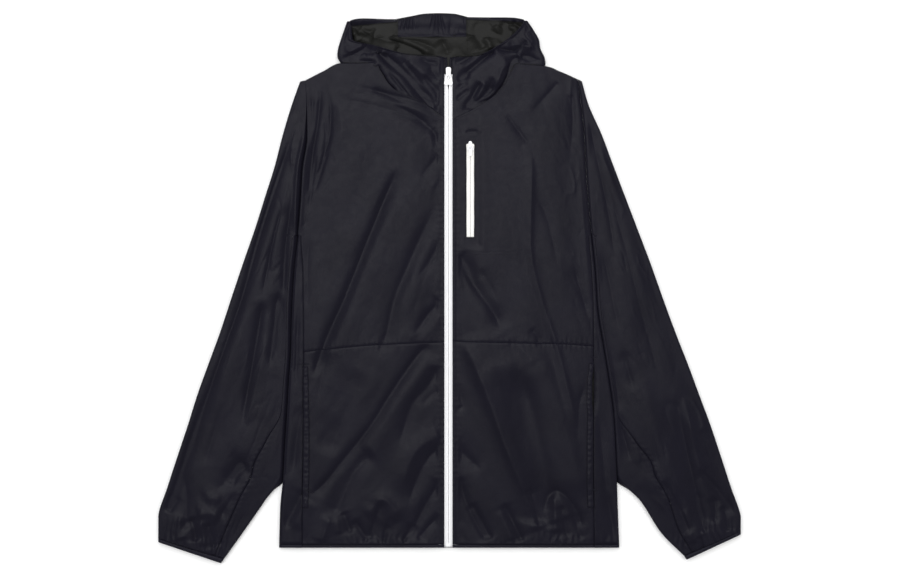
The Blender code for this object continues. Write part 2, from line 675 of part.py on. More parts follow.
def flap_rise(x, y):
    """Lift of the hood's back layer where the lining bulges over the brim facing."""
    beside = max(FLAP["right"] - x, x - FLAP["left"], 0)
    if y >= FLAP["crest"]:
        along = smooth_step((FLAP["top"] - y) / (FLAP["top"] - FLAP["crest"]))
    else:
        along = smooth_step((y - FLAP["foot"]) / (FLAP["crest"] - FLAP["foot"]))
    return FLAP["rise"] * along * (1 - smooth_step(beside / FLAP["ease"]))


def hood_side(name, table, neck, inward, turned):
    """Side of the hood: from its front edge over the side fold and along the floor to the crown seam."""
    grid = []
    last = len(table) - 1
    half = last / 2
    for down in stations(0, last, 0.5):
        row = at(table, down)
        lift = HOOD_LIFT * smooth_step((last - down) / half)
        radius = FOLD + lift / 2
        outer, front = Place(row.edge_x + inward * radius, row.edge_y), Place(row.front_x, row.front_y)
        line = []
        for across in stations(0, SHOULDER_POINT - 0.5, 0.5):
            part = across / SHOULDER_POINT
            place = mix(front, outer, part)
            if across:
                neckline = at(neck, across)
                seam = Place(neckline.x + inward * SEAM, neckline.y + SEAM)
                place = mix(place, seam, smooth_step((down - half) / half))
            away = abs(place.x - ZIP_CENTRE) - TAPE_HALF
            calm = smooth_step(away / EASE["hood"]) * smooth_step((1 - part) * SHOULDER_POINT)
            calm *= smooth_step(last - down)
            high = LAY + lift * smooth_step(away / EASE["hood_lift"])
            line.append((place.x, place.y, high + calm * crease_rise(HOOD_CREASES, place.x, place.y)))
        line += half_round(row.edge_x, inward, row.edge_y, radius)[::-1]
        seam = Place(row.seam_x - inward * SEAM / 2, row.seam_y)
        for part in (0.25, 0.5, 0.75, 1.0):
            place = mix(outer, seam, part)
            line.append((place.x, place.y, flap_rise(place.x, place.y)))
        grid.append(line)
    return cloth_wall(name, grid, SHELL, turned)


def hood_centre(name):
    """Crown strip: from the brim down to the back neckline, lying on the floor."""
    grid = []
    last = len(HOOD_RIGHT) - 1
    for down in stations(0, last, 0.5):
        right, left = at(HOOD_RIGHT, down), at(HOOD_LEFT, down)
        line = []
        for across in stations(0, len(BRIM) - 1, 0.5):
            part = across / (len(BRIM) - 1)
            bow = at(BRIM, across).y - between(HOOD_RIGHT[0].seam_y, HOOD_LEFT[0].seam_y, part)
            x = between(right.seam_x + SEAM / 2, left.seam_x - SEAM / 2, part)
            y = between(right.seam_y, left.seam_y, part) + bow * (1 - down / last)
            line.append((x, y, flap_rise(x, y)))
        grid.append(line)
    return cloth_wall(name, grid, SHELL)


def brim_facing(name):
    """Facing inside the brim, drawn into gathers by the elastic edge."""
    columns = FACING["columns"]
    grid = []
    for part in (0.0, 0.25, 0.6, 1.0):
        line = []
        for k in range(columns, -1, -1):
            across = k / columns
            top_y = at(BRIM, across * (len(BRIM) - 1)).y - FACING["below_brim"]
            y = between(top_y, FLAP["top"] + FACING["over_flap"], part)
            ripple = FACING["rise"] * uneven(k, 1.7, 0.4) * (k % 2)
            z = 2 * CLOTH + SEAM + ripple * math.sin(math.pi * between(0.15, 0.85, part))
            line.append((between(FACING["right"], FACING["left"], across), y, z))
        grid.append(line)
    return cloth_wall(name, grid, SHELL)


def hem_back(name):
    """Hem binding of the back, wrapped round both sides as the back is."""
    top = SIDE_RIGHT[HEM_ROW].y - SEAM
    grid = [[(x, y, z) for x, _, z in back_line(HEM_ROW)] for y in (top, top - HEM_BAND)]
    return cloth_wall(name, grid, BINDING)


def hem_front(name, start, end, turned):
    top = SIDE_RIGHT[HEM_ROW].y - SEAM
    grid = [[(x, y, LAY) for x in stations(start, end, (end - start) / 8)] for y in (top, top - HEM_BAND)]
    return cloth_wall(name, grid, BINDING, turned)


def zip_tape(name, towards):
    """Half of the front zip's tape: its inner edge leaves the middle at the slider and above it."""
    grid = []
    for split in ZIP_SPLIT:
        line = [(ZIP_CENTRE + towards * aside, split.y, TAPE_TOP) for aside in (split.apart, TAPE_HALF)]
        grid.append(line)
    return cloth_wall(name, grid, ZIP_WHITE, turned=towards > 0)


def bail(name, x, base, axis_y, axis_z):
    """The staple on a slider that holds its pull: two legs and a bar."""
    near, far = BAIL_LEG
    under, over = BAIL_BAR
    spans = {
        "bar": (-far, far, axis_z + under, axis_z + over),
        "leg_back": (-far, -near, base, axis_z + over),
        "leg_front": (near, far, base, axis_z + over),
    }
    pieces = []
    for part, (start, end, low, high) in spans.items():
        corners = (x - BAIL_HALF, axis_y + start, low), (x + BAIL_HALF, axis_y + end, high)
        pieces.append(block(f"{name}_{part}", ENAMEL, *corners))
    return pieces


def slider(name, x, end_y, base, width, length):
    """Zip slider: a top plate with a bail for its pull. Returns it and where the pull turns."""
    top = base + PLATE
    corners = (x - width / 2, end_y - length, base), (x + width / 2, end_y, top)
    body = block(name, ENAMEL, *corners, bevel=0.4)
    axis = Place(end_y - BAIL_BACK, top + BAIL_ROOM)
    return combine(body, bail(name, x, base + PLATE / 2, *axis)), axis


def pull_tab(name, x, axis, width, length, towards):
    """The pull: a flat tab whose slotted end turns in the slider's bail."""
    axis_y, axis_z = axis

    def through(part, half, start, end, **more):
        low, high = sorted((axis_y + towards * start, axis_y + towards * end))
        tall = more.pop("tall", LAY)
        corners = (x - half, low, axis_z - tall), (x + half, high, axis_z + tall)
        return block(part, ENAMEL, *corners, **more)

    origin = (x, axis_y, axis_z)
    tab = through(name, width / 2, -PULL_HALF, length, tall=PULL_HALF, bevel=0.3, origin=origin)
    slot = through(f"{name}_slot", BAIL_HALF + 0.5, PULL_HALF, PULL_SLOT)
    middle = length - PULL_EYE["from_end"]
    eye = through(f"{name}_eye", PULL_EYE["half_x"], middle - PULL_EYE["half_y"], middle + PULL_EYE["half_y"])
    return combine(tab, [slot, eye], "DIFFERENCE")


def centred_block(name, half, start, end, look=None):
    """A box on the front zip's centre line, between two places given as (y, z)."""
    return block(name, look or ENAMEL, (ZIP_CENTRE - half, *start), (ZIP_CENTRE + half, *end))


def front_zip():
    zip_tape("zip_tape_right", -1)
    zip_tape("zip_tape_left", 1)
    coil_top = TAPE_TOP - CLOTH - SEAM
    centred_block("zip_coil", COIL_HALF, (TAPE_FOOT, coil_top - COIL_HIGH), (COIL_END, coil_top), ZIP_WHITE)
    base, end_y, start_y = TAPE_TOP + SEAM, SLIDER["end"], SLIDER["end"] - SLIDER["length"]
    body, axis = slider("zip_slider", ZIP_CENTRE, end_y, base, SLIDER["width"], SLIDER["length"])
    low, inside = CLOTH + SEAM, base + PLATE / 2
    plate = centred_block("zip_slider_plate", SLIDER["under_half"], (start_y, low), (end_y, coil_top))
    post_ends = (end_y - POST["back"], low + SEAM), (end_y - POST["front"], inside)
    combine(body, [plate, centred_block("zip_slider_post", POST["half"], *post_ends)])
    pull_tab("zip_pull", ZIP_CENTRE, axis, PULL["width"], PULL["length"], 1)
    foot = TAPE_FOOT + STOP["from_foot"]
    centred_block("zip_stop", STOP["half"], (foot, base), (foot + STOP["length"], base + STOP["high"]))


def chest_zip():
    x, half, top, foot = (CHEST_ZIP[key] for key in ("x", "half", "top", "foot"))
    base = LAY + SEAM
    for name, start, end in (("chest_zip_tape_right", -half, -0.2), ("chest_zip_tape_left", 0.2, half)):
        block(name, ZIP_WHITE, (x + start, foot, base), (x + end, top, base + CLOTH))
    over = base + CLOTH + SEAM
    _, axis = slider("chest_zip_slider", x, top - SEAM, over, CHEST_SLIDER["width"], CHEST_SLIDER["length"])
    pull_tab("chest_zip_pull", x, axis, CHEST_PULL["width"], CHEST_PULL["length"], -1)


def build():
    back("back")
    front_upper("front_right_upper", NECK_RIGHT, WAIST_RIGHT, SIDE_RIGHT, False, tucked=True)
    front_upper("front_left_upper", NECK_LEFT, WAIST_LEFT, SIDE_LEFT, True)
    front_lower("front_right_lower", WAIST_RIGHT, SIDE_RIGHT, False)
    front_lower("front_left_lower", WAIST_LEFT, SIDE_LEFT, True)
    pocket_welt("pocket_welt_right", WAIST_RIGHT, SIDE_RIGHT, False)
    pocket_welt("pocket_welt_left", WAIST_LEFT, SIDE_LEFT, True)
    sleeve_upper("sleeve_right_upper", SLEEVE_RIGHT, SIDE_RIGHT, False, tucked=True)
    sleeve_upper("sleeve_left_upper", SLEEVE_LEFT, SIDE_LEFT, True)
    sleeve_under("sleeve_right_under", SLEEVE_RIGHT, False)
    sleeve_under("sleeve_left_under", SLEEVE_LEFT, True)
    cuff("cuff_right", SLEEVE_RIGHT[-1], CUFF_RIGHT, False)
    cuff("cuff_left", SLEEVE_LEFT[-1], CUFF_LEFT, True)
    hood_side("hood_right", HOOD_RIGHT, NECK_RIGHT, 1, False)
    hood_side("hood_left", HOOD_LEFT, NECK_LEFT, -1, True)
    hood_centre("hood_centre")
    brim_facing("hood_brim_facing")
    hem_back("hem_back")
    hem_front("hem_right", ZIP_CENTRE - ZIP_HALF, SIDE_RIGHT[HEM_ROW].seam, False)
    hem_front("hem_left", ZIP_CENTRE + ZIP_HALF, SIDE_LEFT[HEM_ROW].seam, True)
    front_zip()
    chest_zip()


for old in list(bpy.data.objects):
    bpy.data.objects.remove(old, do_unlink=True)
JACKET = jacket_collection("windbreaker_jacket", True)
CUTTERS = jacket_collection("cutters", False)
SHELL = material("navy nylon taffeta", (0.023, 0.022, 0.029), 0.55)
BINDING = material("navy elastic binding", (0.02, 0.019, 0.026), 0.65)
ZIP_WHITE = material("white polyester zip tape", (0.8, 0.8, 0.8), 0.6)
ENAMEL = material("white enamelled zinc", (0.82, 0.82, 0.82), 0.35)
build()
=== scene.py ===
"""Hooded windbreaker, zipped up and laid flat on its back: its cloth, sewing and zips, and the stage.

The wearer's right side is at -X, the hood at +Y and the front faces +Z. Sizes are in millimetres until a mesh
is made. Each panel is a grid of places on its outer face: rows run down the garment and columns across it.
"""

import math
from collections import namedtuple

import bpy
import numpy as np
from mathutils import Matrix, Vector, noise


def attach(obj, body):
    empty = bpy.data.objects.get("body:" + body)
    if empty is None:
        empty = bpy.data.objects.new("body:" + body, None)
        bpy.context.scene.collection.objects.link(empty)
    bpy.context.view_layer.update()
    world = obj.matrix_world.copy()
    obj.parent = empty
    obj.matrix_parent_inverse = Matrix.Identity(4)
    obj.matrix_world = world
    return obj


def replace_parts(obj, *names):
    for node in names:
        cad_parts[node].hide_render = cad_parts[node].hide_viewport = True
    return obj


bl_info = {
    "name": "Windbreaker laid flat",
    "version": (1, 0, 0),
    "blender": (4, 5, 0),
    "location": "View3D > Sidebar > Windbreaker",
    "description": "Makes the cloth, sewing and zips of a hooded windbreaker that lies on its back",
    "category": "Object",
}

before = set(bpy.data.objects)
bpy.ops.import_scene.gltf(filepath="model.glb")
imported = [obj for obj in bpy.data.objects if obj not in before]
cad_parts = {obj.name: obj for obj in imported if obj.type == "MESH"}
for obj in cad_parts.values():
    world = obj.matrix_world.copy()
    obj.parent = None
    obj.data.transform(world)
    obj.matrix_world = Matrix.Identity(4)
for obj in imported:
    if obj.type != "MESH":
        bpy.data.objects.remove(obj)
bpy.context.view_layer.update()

MM = 0.001

# Heights and edges of the cloth.
LAY = 5.0  # height of the front's outer face where the cloth lies quiet
FOLD = 2.5  # radius of the side folds
SEAM = 0.3  # gap between panels that meet
PUFF = 1.8  # how much the air between the layers lifts their middle
HOOD_LIFT = 2.0  # how much higher the hood's front lies
HOOD_HIGHEST, LINING_HIGHEST = 10.2, 8.4  # most that the hood's front and its lining may rise to
TUCK = 0.9  # height of the outer face at the bottom of the right armhole's tuck
RIM_SHORT = 0.85  # how far each layer stops short of the middle height at the shoulder seam
RIM_ROWS = 0.09  # how much of the first row the round edge at the shoulder takes
RIM_SLOPE = 30.0  # millimetres of that edge for each row
HEM_BAND = 4.3  # height of the hem's binding
BINDING_WALL = 1.0
CUFF_GATHERS = 2.4  # rows above the cuff over which its elastic draws up the sleeve

# Places in the side and neck tables.
WAIST_ROW, HEM_ROW, UNDERARM_ROW = 8, 14, 5
UNDERARM_TOP = UNDERARM_ROW - 0.02  # last row of the armhole
UNDERARM_UNDER = UNDERARM_ROW - 0.06  # where the cloth that lies under it starts
WAIST_GAP = SEAM / 480  # half of the gap at the waist seam, in rows
SHOULDER_POINT = 5  # where the neckline meets the shoulder
ROW_STEP, SLEEVE_STEP = 0.045, 0.05  # a row of the side tables is about 47 mm, so a step is about 2 mm
FOLD_STEPS = 8  # faces round a side fold
UNDER_SLEEVE_ROW = 10  # from here on the under sleeve comes round to the front
WELT_ROWS = 8.5, 13.0  # rows of the side table that a hand pocket's band takes
WELT_START = 0.957  # share of the way from the zip to the side seam where that band begins

# The zips.
ZIP_CENTRE, ZIP_HALF, TAPE_HALF = -1.6, 5.9, 14.0
TAPE_TOP, TAPE_FOOT, TAPE_END, TAPE_WALL = 3.7, -373.5, 332.5, 0.9
COIL_MIDDLE = 2.05  # height of the middle of the front zip's coil
CHEST_X, CHEST_HALF, CHEST_TOP, CHEST_FOOT, CHEST_WALL = 30.0, 5.4, 208.0, 73.5, 0.8
SLIDER_TOP = 307.0  # upper end of the front slider; the tapes above it are dyed navy
CHEST_SLIDER_AXIS = CHEST_TOP - SEAM - 4.0  # where the chest pull turns
PULL_HALF, PULL_SLOT, PULL_SLOT_HALF = 0.5, 3.1, 1.3  # half height of a pull, its slot's end and half width
BAIL_HALF = 0.8  # half width of a slider's bail

# The hood's mouth.
MOUTH_MIDDLE = -18.0
FLAP = {"right": -109.0, "left": 39.0, "edge": 364.2, "rise": 4.4, "ease": 26.0, "round": 4.5}
FACING = {"right": -74.5, "left": 24.0, "foot": 362.5, "high": 3.1}

# The pockets' stitching.
BAG_ROWS, BAG_RIGHT, BAG_LEFT = (53.2, 48.2), 9.5, 97.0  # the chest pocket's bag, sewn through the front
SURROUND = 7.6  # stitches beside the chest zip, off its middle
STITCH_OVER, TACK_OVER = 0.2, 1.7  # how far stitches and bartacks lie above the cloth

# The stage: sizes in metres, the world's strength and the lens in millimetres.
FLOOR_HALF, FLOOR_DOWN = 8.0, 0.0004
WORLD, CAMERA_X, CAMERA_HEIGHT, LENS, SENSOR = 0.14, 0.0007, 3.07, 85, 36

Fold = namedtuple("Fold", "way rise left right start end sharp", defaults=(0.3, 0.3, None))
Plate = namedtuple("Plate", "name start end low high half")
Tack = namedtuple("Tack", "x y half lean")
Light = namedtuple("Light", "name place aim size power glossy")

# Rows down each side: y, the body's outer edge, and where the front panel ends.
SIDE = {
    "right": [
        (299.3, -208.2, -208.2), (266.5, -206, -206), (219, -205, -204.5), (171.5, -211.5, -211),
        (124, -214.5, -213.5), (75, -218.5, -214.5), (24.5, -224, -211.5), (-33, -227.5, -211),
        (-92, -229, -211), (-134, -232, -211), (-178.5, -234.5, -211),
        (-224.5, -237.5, -211), (-270.5, -240, -211.5), (-317, -244.5, -212.5),
        (-370, -246, -212.5),
    ],
    "left": [
        (300.8, 185.3, 185.3), (266.5, 189.5, 189.5), (219, 194.5, 194.5), (171.5, 197, 197),
        (124, 200.5, 200.5), (75, 204.8, 201.3), (24.5, 210, 205), (-30, 213.5, 207.5),
        (-83.5, 222, 208), (-132.5, 230, 208), (-180, 236.5, 207.5), (-226, 239.5, 207),
        (-269.5, 241.5, 207), (-317, 243, 208), (-370, 245, 208.5),
    ],
}
# Sleeves: outer edge, inner edge, and how far from it the under sleeve's front and back seams lie.
SLEEVE = {
    "right": [
        (-215.8, 297.8, -208.6, 299.3, 0, 0), (-227, 266.5, -206.5, 266.5, 0, 0),
        (-240.5, 222, -209.5, 219, 0, 0), (-252.5, 175.5, -218, 171.5, 0, 0),
        (-267, 129.5, -221, 124, 0, 0), (-280.5, 86.5, -222.5, 75, 4, 4),
        (-296.5, 40.5, -227.5, 24.5, 4, 16), (-314, -11.5, -231, -33, 4, 26),
        (-332, -66, -232, -92, 4, 32), (-348, -109.5, -235, -134, 4, 36),
        (-363.5, -152.5, -237.5, -178.5, 5, 38), (-378, -198.5, -240.5, -224.5, 24, 40),
        (-392.5, -242, -243, -270.5, 42, 42), (-407.5, -288, -267, -308, 36, 38),
        (-420.5, -331, -299, -354, 24.5, 28), (-420.5, -361.5, -325, -390.5, 14, 18),
    ],
    "left": [
        (191.2, 298, 185.6, 300.8, 0, 0), (200, 266.5, 190, 266.5, 0, 0),
        (219.5, 222, 195, 219, 0, 0), (237, 175.5, 197.5, 171.5, 0, 0),
        (254.5, 129.5, 201, 124, 0, 0), (272, 83.5, 205.3, 75, 4, 4),
        (289.5, 37.5, 210.5, 24.5, 4, 16), (308, -14.5, 214, -30, 4, 26),
        (326, -63.5, 222.5, -83.5, 4, 32), (344, -109.5, 230.5, -132.5, 4, 36),
        (361, -155.5, 237, -180, 5, 38), (377, -198.5, 240, -226, 28, 40),
        (391.5, -242, 242.5, -269.5, 52, 42), (406, -286.5, 276, -308, 39, 38),
        (420.5, -331, 306, -354, 25, 28), (420.5, -350.5, 338.5, -386.5, 12, 16),
    ],
}
# The lower end of each cuff, with the sleeve table's columns.
CUFF_END = {
    "right": (-420.5, -366.5, -329.5, -397.1, 0, 0),
    "left": (420.5, -355.5, 342, -392, 0, 0),
}
# Hood sides, from the top of the mouth to the neckline: side fold, front edge and crown seam.
HOOD = {
    "right": [
        (-148, 384.5, -141.5, 377, -75.5, 388), (-156.5, 360, -139, 357.5, -75.5, 378),
        (-160.3, 348, -104.5, 349, -75.5, 368.5), (-161.5, 342, -61, 337.5, -75.5, 359.5),
        (-162, 338, -7.5, 332.5, -75.5, 348.5), (-162, 335, -7.5, 311, -75.5, 337),
        (-161.5, 332, -7.5, 289.5, -75.5, 325.5), (-160, 329, -7.5, 268, -75.5, 315.5),
        (-157.5, 325, -7.5, 246.5, -75.5, 306.5),
    ],
    "left": [
        (112.5, 385.5, 104, 378.5, 25, 391), (121.5, 372, 90, 364.5, 25, 381.5),
        (129.5, 357, 70, 350, 25, 370), (131, 346, 39.5, 335.5, 25, 360),
        (134, 339.5, 4.3, 332.5, 25, 348.5), (137, 333.5, 4.3, 311, 25, 337),
        (138, 329.5, 4.3, 289.5, 25, 325.5), (138.5, 325.5, 4.3, 266.5, 25, 315.5),
        (138.5, 321, 4.3, 244, 25, 304.5),
    ],
}
# The front's top edge, from the zip along the neckline, and from the sixth place along the shoulder.
NECK = {
    "right": [
        (-7.5, 246), (-44, 270.5), (-81.5, 288), (-98.5, 311), (-107.5, 324), (-155, 324.5),
        (-182, 313), (-208, 299.5),
    ],
    "left": [
        (4.3, 243.5), (44.5, 263.5), (74, 286), (89.5, 313), (97, 323), (136, 320.5),
        (160.5, 312), (185, 301),
    ],
}
# The waist seam, from the zip out, and the back's top edge and the brim's, from the right.
WAIST = {
    "right": [(-7.5, -78), (-108.5, -82), (-159, -86.5), (-211, -92)],
    "left": [(4.3, -76.5), (85.5, -79), (157.5, -80.5), (208, -83.5)],
}
BACK_TOP = [
    (-208, 299.5), (-182, 313), (-155, 324), (-75.5, 306), (25, 304), (136, 320),
    (160.5, 312), (185, 301),
]
BRIM = [
    (-75.2, 388.5), (-60, 392.5), (-35.5, 396.2), (-15, 397), (2, 396.2), (24.7, 391.5),
]
# Half of the gap between the front zip's tapes, and the height on the garment, down from their top ends.
ZIP_SPLIT = [(2.2, 332.5), (1.3, 318), (1.2, 306), (1, 292), (0.2, 286), (0.2, -373.5)]
# Folds of the cloth: the way each takes, its rise, how far it spreads to the left and right of that way, the
# share of its length over which it starts and ends, and its crest, from sharp at 1 to round at 2.
FRONT_FOLDS = [
    ([(-74, 177), (-86, 148), (-116, 76), (-153, -17), (-179, -75), (-198, -130)], -3.6, 11, 5, 0.3, 0.1),
    ([(-64, 167), (-78, 127), (-104, 69), (-139, -17), (-165, -78), (-185, -132)], 1.8, 15, 9, 0.3, 0.25),
    ([(-15, 132), (-44, 69), (-64, 23), (-80, -17), (-91, -66), (-107, -104)], -2.6, 11, 8, 0.2, 0.2),
    ([(-6, 105), (-30, 65), (-51, 19), (-67, -22), (-78, -69)], 1.3, 14, 8),
    ([(-14, 68), (-30, 37), (-50, 9)], -1.5, 8, 6, 0.1, 0.4),
    ([(-14, 192), (-30, 174), (-44, 157)], -1.3, 7, 5, 0.1, 0.5),
    ([(-12, -19), (-30, -37), (-54, -72)], -2.6, 8, 5.5, 0.08, 0.35),
    ([(-6, -32), (-21, -49), (-42, -84)], 1.1, 10, 6, 0.1, 0.4),
    ([(-30, -78), (-47, -98), (-87, -156), (-114, -199), (-152, -246), (-181, -282), (-202, -301)],
         -2.6, 8, 4.5, 0.12, 0.12),
    ([(-119, -121), (-142, -161), (-162, -207), (-176, -245)], -2, 10, 26, 0.2, 0.2),
    ([(-18, -89), (-38, -112), (-77, -167), (-104, -210), (-142, -258), (-172, -292)], 1.9, 18, 9, 0.2, 0.25),
    ([(-14, -112), (-30, -140), (-53, -166), (-66, -204), (-77, -240)], -2.2, 9, 9, 0.1, 0.35),
    ([(-11, -212), (-32, -222), (-51, -239), (-63, -265), (-70, -302)], 2.8, 8, 14, 0.08, 0.25),
    ([(-6, -228), (-24, -238), (-38, -256), (-50, -282), (-60, -317)], -2.4, 9, 6, 0.1, 0.25),
    ([(-12, -278), (-30, -305), (-44, -331), (-60, -366)], -2.8, 8, 6, 0.08, 0.15),
    ([(-14, -327), (-30, -344), (-47, -364)], -2, 6, 4, 0.1, 0.15),
    ([(-14, -147), (-30, -158), (-41, -174)], -1, 4, 6, 0.1, 0.5),
    ([(-122, -331), (-110, -317), (-96, -304), (-81, -317), (-68, -337)], 3.6, 7, 17, 0.2, 0.2),
    ([(-96, -304), (-106, -334), (-116, -363)], -2.2, 6, 8, 0.2, 0.1),
    ([(-153, -323), (-149, -334), (-142, -354)], -2.4, 4, 6, 0.2, 0.1),
    ([(-138, -333), (-129, -347), (-117, -367)], -2.4, 4, 6, 0.2, 0.1),
    ([(-171, -328), (-178, -346), (-185, -367)], 2.4, 5, 6, 0.3, 0.1),
    ([(-163, -320), (-162, -337), (-159, -357)], 1.5, 5, 5, 0.3, 0.2),
    ([(-51, -340), (-58, -351), (-67, -367)], -2.2, 4, 5, 0.2, 0.1),
    ([(-87, -340), (-93, -354), (-96, -370)], -1.2, 3, 4, 0.3, 0.1),
    ([(-211, -292), (-222, -317), (-238, -344)], -2.4, 4, 8, 0.1, 0.1),
    ([(-204, -302), (-214, -323), (-227, -348)], 2, 10, 4, 0.2, 0.2),
    ([(-212, -168), (-221, -219), (-227, -279)], -1.3, 4, 5, 0.2, 0.3),
    ([(-222, -89), (-230, -190), (-234, -274)], 1, 4, 4),
    ([(-218, -17), (-221, -89), (-222, -150)], -1, 3, 4),
    ([(-178, 288), (-171, 259), (-172, 225), (-184, 181), (-204, 120)], -1.4, 2.8, 2.8),
    ([(-211, 291), (-207, 256), (-205, 217)], -1.8, 3, 3, 0.25, 0.1),
    ([(-185, 294), (-189, 245), (-197, 196), (-204, 130)], -2.1, 3, 3, 0.3, 0.15),
    ([(-162, 276), (-155, 230), (-169, 184)], 1.3, 8, 7, 0.2, 0.4),
    ([(-199, 282), (-197, 253), (-199, 216)], -1.1, 2.5, 2.5, 0.4, 0.3),
    ([(-166, 285), (-87, 269), (-37, 253), (-15, 240)], 1.1, 4, 5, 0.2, 0.15),
    ([(-143, 292), (-73, 276), (-18, 258)], -1.1, 4, 4, 0.2, 0.15),
    ([(-169, 275), (-102, 261), (-51, 243), (-18, 225)], -0.9, 5, 5, 0.2, 0.15),
    ([(-73, 261), (-38, 240), (-14, 213)], -1, 5, 6, 0.3, 0.1),
    ([(-109, 242), (-145, 170), (-162, 105)], 0.9, 18, 18),
    ([(-142, 199), (-168, 120), (-181, 40), (-189, -32)], -1, 12, 14),
    ([(-181, 253), (-178, 219), (-184, 181)], -0.9, 2.5, 3, 0.4, 0.3),
    ([(-194, 271), (-198, 233), (-201, 190)], 0.9, 3, 3, 0.4, 0.3),
    ([(-174, 199), (-185, 167), (-197, 132)], -1.2, 3, 3, 0.2, 0.3),
    ([(-191, 199), (-197, 156), (-204, 107)], -1, 2.5, 2.8),
    ([(-113, 288), (-84, 276), (-61, 266)], -1.2, 3, 5, 0.2, 0.3),
    ([(-150, 282), (-122, 278), (-96, 271)], -0.9, 3, 4),
    ([(-84, 265), (-55, 252), (-30, 236)], -1.1, 3, 4, 0.3, 0.2),
    ([(-27, 230), (-19, 219), (-14, 204)], -1.1, 4, 4, 0.2, 0.1),
    ([(-202, 84), (-205, 26), (-204, -43)], -0.9, 5, 6),
    ([(-104, -112), (-145, -167), (-176, -204)], 1.3, 16, 14),
    ([(-174, -92), (-185, -132), (-191, -176)], -1, 7, 8, 0.2, 0.4),
    ([(-107, -236), (-133, -259), (-153, -297), (-169, -337)], -2.6, 9, 15, 0.15, 0.15),
    ([(81, 251), (97, 230), (114, 207)], -1.3, 4, 5, 0.25, 0.1),
    ([(22, 225), (32, 225), (42, 225)], -1.3, 2, 2.2, 0.2, 0.2),
    ([(114, 209), (119, 170), (117, 62), (133, -17), (152, -72), (172, -150), (188, -216)],
         2.2, 3.2, 10, 0.25, 0.12),
    ([(106, 161), (107, 55), (125, -17), (143, -82), (162, -161), (178, -228)], -1, 10, 9, 0.25, 0.25),
    ([(9, 48), (24, 29), (34, 6), (63, -36), (77, -65)], -2.8, 11, 7, 0.1, 0.2),
    ([(42, 29), (57, 6), (71, -22)], -1.1, 6, 5, 0.3, 0.4),
    ([(123, 140), (143, 95), (158, 19)], -0.9, 6, 6),
    ([(176, 281), (178, 242), (175, 194)], -1.3, 5, 5, 0.1, 0.4),
    ([(185, 282), (189, 228), (191, 170)], 1.3, 5, 5, 0.1, 0.4),
    ([(158, 298), (138, 275), (116, 252)], -1.3, 6, 4, 0.1, 0.4),
    ([(178, 36), (189, -3), (201, -45)], -1.1, 5, 5),
    ([(184, 199), (192, 127), (198, 40), (201, -32)], 0.9, 7, 7, 0.2, 0.2),
    ([(133, 271), (100, 253), (71, 230)], 0.9, 10, 8),
    ([(67, -60), (80, -72), (89, -82)], 1, 5, 5),
    ([(15, -71), (34, -107), (50, -143), (81, -229), (102, -279), (120, -325), (129, -350)],
         5, 28, 7, 0.1, 0.06, 1.1),
    ([(91, -107), (109, -161), (123, -219), (133, -262), (139, -305), (133, -346)],
         -3.4, 14, 26, 0.2, 0.06, 2),
    ([(117, -86), (138, -125), (153, -161), (169, -219), (184, -269), (194, -305)], 3, 12, 20, 0.2, 0.2, 1.8),
    ([(45, -124), (71, -112), (103, -109)], 1.4, 8, 16, 0.2, 0.3),
    ([(114, -285), (123, -317), (130, -348)], -1.8, 6, 6, 0.2, 0.1),
    ([(136, -325), (142, -302), (155, -292), (169, -302), (184, -323), (192, -348)], -2.2, 4, 4, 0.15, 0.1),
    ([(150, -298), (152, -323), (153, -354)], 2.6, 5, 5, 0.15, 0.1),
    ([(161, -312), (165, -334), (171, -360)], -1.5, 4, 5, 0.2, 0.1),
    ([(5, -226), (24, -243), (48, -265)], -1.9, 8, 9, 0.08, 0.3),
    ([(11, -271), (30, -323), (54, -366)], -2.2, 5, 6, 0.1, 0.1),
    ([(31, -310), (45, -334), (61, -364)], -2.2, 4, 5, 0.15, 0.1),
    ([(78, -310), (91, -337), (106, -366)], -2.6, 5, 6, 0.15, 0.1),
    ([(71, -317), (81, -340), (91, -364)], 1.4, 5, 5, 0.3, 0.1),
    ([(8, -181), (15, -173), (25, -167)], -0.8, 4, 4, 0.1, 0.4),
    ([(6, -144), (15, -156), (21, -173)], -0.8, 4, 4, 0.1, 0.4),
    ([(117, -58), (127, -71), (138, -86)], -1.1, 4, 5, 0.2, 0.4),
    ([(100, -84), (114, -98), (123, -112)], 0.9, 7, 7),
    ([(214, -183), (222, -248), (228, -310), (244, -370)], -1.3, 4, 4, 0.2, 0.1),
    ([(227, -295), (233, -327), (240, -364)], -1.3, 4, 4, 0.2, 0.1),
    ([(198, -132), (186, -176), (184, -219)], -0.9, 7, 5),
    ([(172, -302), (181, -334), (191, -364)], -1.3, 5, 5, 0.3, 0.1),
    ([(201, -305), (207, -334), (212, -366)], 1.2, 5, 5, 0.3, 0.1),
    ([(28, -86), (40, -121), (48, -156)], 0.9, 8, 8),
]
